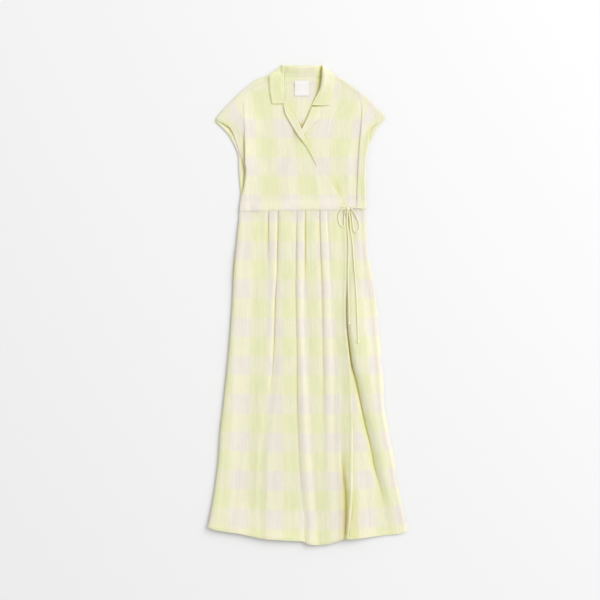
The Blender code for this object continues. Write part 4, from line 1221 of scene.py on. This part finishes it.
def makeLabel():
    cx, cy = labelSettings["centre"]
    wide, high = labelSettings["size"]
    x, y = np.meshgrid(np.linspace(-0.5, 0.5, 34) * wide, np.linspace(0.5, -0.5, 36) * high)
    gx, gy = x + cx, y + cy
    bow = 0.5 * np.cos(math.pi * x / wide) + 0.35 * np.sin(2.3 * math.pi * y / high)
    sewn = 0.8 + bow * smoothStep(0.5 * high - y, 2.0, 12.0) * smoothStep(0.5 * high + y, 2.0, 10.0)
    gz = support(gx, gy) + sewn
    upper = np.stack((gx, gy, gz + labelSettings["wall"]), -1)
    lower = np.stack((gx, gy, gz), -1)
    piece = shell("neckLabel", upper, lower, np.stack((x, y), -1), labelTape)
    layOnPile(upper)
    finishPiece(piece, "neck_label")
    return piece


# the drawn tie is thinner than its solids: their radius times one share for straps, one for the rest
tieSettings = {"diameter": 4.6, "strapShare": 0.62, "cordShare": 0.76, "flat": 0.66, "step": 2.5,
               "sides": 14, "slope": 0.35, "knotCentre": (114.2, 267.0), "knotSize": (10.6, 9.4, 5.2),
               "endKnot": 7.0, "checkStart": 20.0}
tieRoutes = {
    "tie_loop_left": ((105.9, 267.6), (98, 265), (90.5, 256), (87.5, 243), (90, 229),
                      (96.5, 219), (102.5, 219), (104.6, 230), (104.4, 245), (106.8, 262.6)),
    "tie_loop_right": ((123.4, 267.2), (132, 257.5), (139.5, 243), (145.5, 226), (146, 211),
                       (140, 202), (133.5, 203), (129.3, 213), (127.4, 232), (125, 249),
                       (121.6, 262)),
    "tie_tail_one": ((111.5, 260.6), (112, 245), (112.4, 220), (115.6, 185), (116.6, 150),
                     (115.2, 110), (114.8, 80), (116, 30), (117.4, -20), (117.6, -49)),
    "tie_tail_two": ((116.7, 260.6), (119.4, 240), (121.2, 215), (123.6, 198), (127.8, 170),
                     (130.6, 130), (133.4, 95), (136.2, 60), (138.2, 20), (140.2, -30),
                     (141.6, -70), (142.2, -101)),
    "tie_strap_over": ((97, 271.5), (101, 273), (105.5, 272.4)),
    "tie_strap_side": ((154, 269), (146, 270.4), (136, 271.2), (128, 271.6), (121, 271.6))}


def routePoints(route, step):
    # evenly spaced points on a Catmull-Rom curve through the route
    knots = np.array(route, dtype=float)
    ends = np.vstack((2 * knots[0] - knots[1], knots, 2 * knots[-1] - knots[-2]))
    t = np.linspace(0.0, 1.0, 24, endpoint=False)[:, None]
    fine = []
    for p0, p1, p2, p3 in zip(ends, ends[1:], ends[2:], ends[3:]):
        fine.append(0.5 * (2 * p1 + (p2 - p0) * t + (2 * p0 - 5 * p1 + 4 * p2 - p3) * t * t
                           + (3 * p1 - p0 - 3 * p2 + p3) * t ** 3))
    fine = np.vstack((*fine, knots[-1:]))
    run = runOf(fine)
    stations = np.linspace(0.0, run[-1], max(int(round(run[-1] / step)), 3) + 1)
    return np.stack([np.interp(stations, run, fine[:, k]) for k in range(2)], 1), stations


def capped(rings, first, last):
    # points and faces of rings that are closed by a point at each end
    count, sides = rings.shape[:2]
    grid = np.arange(count * sides).reshape(count, sides)
    right = np.roll(grid, -1, axis=1)
    quads = np.stack((grid[:-1], grid[1:], right[1:], right[:-1]), -1).reshape(-1, 4)
    caps = [np.stack((here, there, np.full(sides, count * sides + end)), 1)
            for end, (here, there) in enumerate(((grid[0], right[0]), (right[-1], grid[-1])))]
    return np.concatenate((rings.reshape(-1, 3), [first, last])), quads, np.concatenate(caps)


def tube(name, path, radius):
    # rings round the path, pressed flat, closed by shrinking rings and a point at each end
    flat, sides = tieSettings["flat"], tieSettings["sides"]
    along = np.gradient(path, axis=0)
    along /= np.linalg.norm(along, axis=1, keepdims=True)
    side = np.cross(along, (0.0, 0.0, 1.0))
    side /= np.linalg.norm(side, axis=1, keepdims=True)
    top = np.cross(side, along)
    run = runOf(path)
    turn = np.linspace(0.0, 2 * math.pi, sides, endpoint=False)
    ripple = 1.0 + 0.05 * softNoise(turn[None, :] * 3.0 + 0.0 * run[:, None], run[:, None], 1.0, 7.0, 91)
    reach = (radius * ripple)[..., None]
    rings = path[:, None] + reach * (np.cos(turn)[None, :, None] * side[:, None]
                                     + np.sin(turn)[None, :, None] * top[:, None] * flat)
    first = path[0] + (rings[0] - path[0]) * 0.6 - along[0] * radius * 0.5
    last = path[-1] + (rings[-1] - path[-1]) * 0.6 + along[-1] * radius * 0.5
    rings = np.concatenate((first[None], rings, last[None]))
    tips = path[0] - along[0] * radius * 0.7, path[-1] + along[-1] * radius * 0.7
    points, quads, caps = capped(rings, *tips)
    u = np.broadcast_to(turn * radius + tieSettings["checkStart"], (len(rings), sides)).ravel()
    v = np.repeat(np.concatenate(([run[0]], run, [run[-1]])), sides)
    uv = np.concatenate((np.stack((u, v), 1), [[0.0, 0.0], [0.0, run[-1]]]))
    return makeMesh(name, points, [quads, caps], uv, tieCloth)


def makeTieCord(node):
    radius = tieSettings["diameter"] / 2
    flat, stations = routePoints(tieRoutes[node], tieSettings["step"])
    rest = support(flat[:, 0], flat[:, 1], 2, 1)
    climb = tieSettings["slope"] * np.abs(stations[:, None] - stations[None, :])
    z = (rest[None, :] - climb).max(axis=1) + 0.84 * radius * tieSettings["flat"] + 0.1
    z = np.convolve(np.pad(z, 2, mode="edge"), np.full(5, 0.2), mode="valid")
    path = np.column_stack((flat, z))
    radius = radius * tieSettings["strapShare" if "strap" in node else "cordShare"]
    piece = tube(pieceName(node), path, radius)
    finishPiece(piece, node)
    i, j = cellOf(flat[:, 0], flat[:, 1])
    for di in (-1, 0, 1):
        for dj in (-1, 0, 1):
            np.maximum.at(pile, (np.rint(i).astype(int) + di, np.rint(j).astype(int) + dj), z + radius * 0.5)
    return piece, path, radius * (1.0 + tieSettings["flat"])


def makeKnot(node, centre, size, turns, z=None):
    # a rounded lump with the tie's wraps standing out of it as ridges round it
    lat = np.linspace(0.0, math.pi, 25)[1:-1]
    lon = np.linspace(0.0, 2 * math.pi, 40, endpoint=False)
    half = np.array(size) / 2
    base = float(support(np.array([centre[0]]), np.array([centre[1]]))[0]) + half[2] if z is None else z
    around, up = np.meshgrid(lon, lat)
    ridge = 1.0 + 0.10 * np.cos(turns * up + 0.8 * np.sin(around))
    ridge = ridge + 0.04 * softNoise(around * 2, up * 3, 0.9, 0.7, 95)
    shape = np.stack((np.sin(up) * np.cos(around), np.cos(up) + 0.0 * around,
                      np.sin(up) * np.sin(around)), -1)
    middle = np.array((centre[0], centre[1], base))
    body = middle + shape * half * ridge[..., None] * 0.95
    reach = np.array((0.0, half[1] * 0.98, 0.0))
    points, quads, caps = capped(body, middle + reach, middle - reach)
    # these rings run the other way round, so the faces are turned over
    faces = [quads[:, [0, 3, 2, 1]], caps[:, [1, 0, 2]]]
    uv = np.concatenate((np.stack((around * half[0], up * half[1]), -1).reshape(-1, 2), np.zeros((2, 2))))
    piece = makeMesh(pieceName(node), points, faces, uv, tieCloth)
    finishPiece(piece, node)
    return piece


# the pieces, in the order they are laid down
collarFall = makeCollarFall()
bodiceBack = makeBodiceBack()
skirtBack = makeSkirtBack()
pocketMouth = makePocketMouth()
neckLabel = makeLabel()
collarStand = makeCollarStand()
skirtUnder = makeSkirtUnder()
bodiceFrontUnder = makeBodiceFront("right")
lapelUnder = makeTurned("lapel_under", lapelTables["under"], roll=1.5, seed=101, phase=60.0, free=0.5)
skirtOver = makeSkirtOver()
bodiceFrontOver = makeBodiceFront("left")
lapelOver = makeTurned("lapel_over", lapelTables["over"], roll=0.9, seed=103, phase=60.0, free=2.4)
leafLeft = makeTurned("collar_leaf_left", leafTables["left"], roll=1.5, seed=105, phase=35.0, free=1.4,
                      foot=30.0, drop=leafDrop)
leafRight = makeTurned("collar_leaf_right", leafTables["right"], roll=5.6, seed=107, phase=35.0, free=0.15,
                       foot=64.0, drop=leafDrop)

stitchSettings = {"every": 3.4, "length": 2.5, "radius": 0.32, "sides": 6}


def stitchLine(xs, ys):
    # middles and directions of the stitches along a line given by its points
    points = np.stack((xs, ys), 1)
    run = np.concatenate(([0.0], np.cumsum(np.hypot(*np.diff(points, axis=0).T))))
    stations = np.arange(stitchSettings["every"], run[-1], stitchSettings["every"])
    places = [np.interp(stations, run, points[:, k]) for k in range(2)]
    ahead = [np.interp(stations + 0.5, run, points[:, k]) for k in range(2)]
    way = np.stack(ahead, 1) - np.stack(places, 1)
    return np.stack(places, 1), way / np.maximum(np.hypot(*way.T), 1e-6)[:, None]


def makeStitches(name, lines):
    # every stitch is the same small spindle: rings of a circle whose radius swells and shrinks
    # along it, laid on the pile and turned along its line
    parts = [stitchLine(*line) for line in lines]
    place, way = (np.concatenate([part[k] for part in parts]) for k in range(2))
    half, radius, sides = stitchSettings["length"] / 2, stitchSettings["radius"], stitchSettings["sides"]
    turn = np.linspace(0.0, 2 * math.pi, sides, endpoint=False)
    rings = [(along * half, radius * size) for along, size in ((-0.8, 0.7), (0.0, 1.0), (0.8, 0.7))]
    rings = np.array([[(along, wide * math.cos(a), wide * math.sin(a)) for a in turn]
                      for along, wide in rings])
    local, quads, caps = capped(rings, (-half, 0.0, -0.5 * radius), (half, 0.0, -0.5 * radius))
    side = np.stack((-way[:, 1], way[:, 0]), 1)
    spot = place[:, None] + local[None, :, :1] * way[:, None] + local[None, :, 1:2] * side[:, None]
    z = sample(pile, spot[..., 0], spot[..., 1]) + local[None, :, 2] + 0.1
    points = np.concatenate((spot, z[..., None]), -1)
    offset = (np.arange(len(place)) * len(local))[:, None, None]
    faces = [(part[None] + offset).reshape(-1, part.shape[1])
             for part in (quads[:, [1, 2, 3, 0]], caps[:, [2, 0, 1]])]
    uv = np.tile(local[:, :2], (len(place), 1))
    piece = makeMesh(name, points.reshape(-1, 3), faces, uv, thread)
    finishPiece(piece, None)
    return piece


def edgeLine(tab, column, inset, low, high):
    # points along an outline table, moved in from it
    ys = np.linspace(low, high, 60)
    return read(tab, column, ys) + inset, ys


overHem, underHem = np.linspace(-268.0, 108.0, 160), np.linspace(122.0, 270.0, 80)
hemStitches = makeStitches("hemStitches", [(overHem, hem(overHem) + 9.5), (underHem, hem(underHem) + 9.5)])
frontStitches = makeStitches("frontStitches", [
    edgeLine(overEdge, "x", -6.5, 250.0, -636.0), edgeLine(wrapEdge, "x", -6.5, 270.0, 386.0)])
armholeStitches = makeStitches("armholeStitches", [
    edgeLine(frontSides, "left", 7.0, 350.0, 502.0), edgeLine(frontSides, "right", -7.0, 320.0, 502.0)])
lapelStitches = makeStitches("lapelStitches", [
    edgeLine(lapelTables["over"], "outer", 3.5, 552.0, 404.0),
    edgeLine(lapelTables["under"], "outer", -3.5, 520.0, 474.0)])
collarStitches = makeStitches("collarStitches", [
    edgeLine(leafTables["left"], "outer", 4.0, 640.0, 566.0),
    (np.linspace(-93.0, -69.0, 9), np.full(9, 566.5)),
    edgeLine(leafTables["right"], "outer", -4.0, 640.0, 561.5),
    (np.linspace(62.0, 34.0, 9), np.full(9, 561.5)),
    (standTop["x"][[0, 2, 4]] * 0.9 - 1.0, standTop["y"][[0, 2, 4]] - 6.0)])
labelX, labelY = labelSettings["centre"]
labelWide, labelHigh = (0.5 * size - labelSettings["stitchesIn"] for size in labelSettings["size"])
labelStitches = makeStitches("labelStitches", [
    (labelX + labelWide * np.array((-1, 1, 1, -1, -1)), labelY + labelHigh * np.array((1, 1, -1, -1, 1)))])
pocketTop, pocketLow = pocketSettings["top"] + 6.0, pocketSettings["top"] - pocketSettings["length"] - 6.0
pocketStitches = makeStitches("pocketStitches", [edgeLine(skirtSides, "left", 7.0, pocketTop, pocketLow)])

clothPile = pile.copy()
cords = {node: makeTieCord(node) for node in tieRoutes}
tieKnot = makeKnot("tie_knot", tieSettings["knotCentre"], tieSettings["knotSize"], 5.0)

for end, tail in (("tie_end_one", "tie_tail_one"), ("tie_end_two", "tie_tail_two")):
    path = cords[tail][1]
    beyond = path[-1] + (path[-1] - path[-2]) / np.linalg.norm(path[-1] - path[-2]) * 3.5
    makeKnot(end, beyond[:2], [tieSettings["endKnot"]] * 3, 4.0, z=max(beyond[2], 3.6))

shadeFolds(clothPile)


stageSettings = {"floor": (0.825, 0.825, 0.825, 1.0), "floorHalf": 6.0, "floorLow": -0.0004, "world": 0.72,
                 "key": 560.0, "keyPlace": (5.7, 3.9, 5.8), "keySize": 7.0}


def placed(name, data):
    made = bpy.data.objects.new(name, data)
    scene.collection.objects.link(made)
    return made


def makeFloor():
    mesh = bpy.data.meshes.new("studioFloor")
    far, low = stageSettings["floorHalf"], stageSettings["floorLow"]
    corners = [(-far, -far, low), (far, -far, low), (far, far, low), (-far, far, low)]
    mesh.from_pydata(corners, [], [(0, 1, 2, 3)])
    made, shader = newMaterial("studioPaper")
    setInputs(shader, {"Base Color": stageSettings["floor"], "Roughness": 0.9, "Specular IOR Level": 0.1})
    mesh.materials.append(made)
    floor = placed("studioFloor", mesh)


def makeLights():
    world = bpy.data.worlds.new("studio")
    world.use_nodes = True
    setInputs(world.node_tree.nodes["Background"], {0: (1.0, 1.0, 1.0, 1.0), 1: stageSettings["world"]})
    scene.world = world
    data = bpy.data.lights.new("softKey", "AREA")
    data.shape = "DISK"
    data.size = stageSettings["keySize"]
    data.energy = stageSettings["key"]
    lamp = placed("softKey", data)
    place = np.array(stageSettings["keyPlace"])
    lamp.location = place
    aim = -place / np.linalg.norm(place)
    lamp.rotation_euler = (math.acos(-aim[2]), 0.0, math.atan2(aim[1], aim[0]) - math.pi / 2)


cameraSettings = {"place": (-0.0196, 0.0126, 3.967), "lens": 85.0, "sensor": 36.0}


def makeCamera():
    data = bpy.data.cameras.new("overhead")
    data.lens = cameraSettings["lens"]
    data.sensor_width = cameraSettings["sensor"]
    camera = placed("overhead", data)
    camera.location = cameraSettings["place"]
    scene.camera = camera


makeFloor()
makeLights()
makeCamera()
scene.view_settings.view_transform = "Standard"
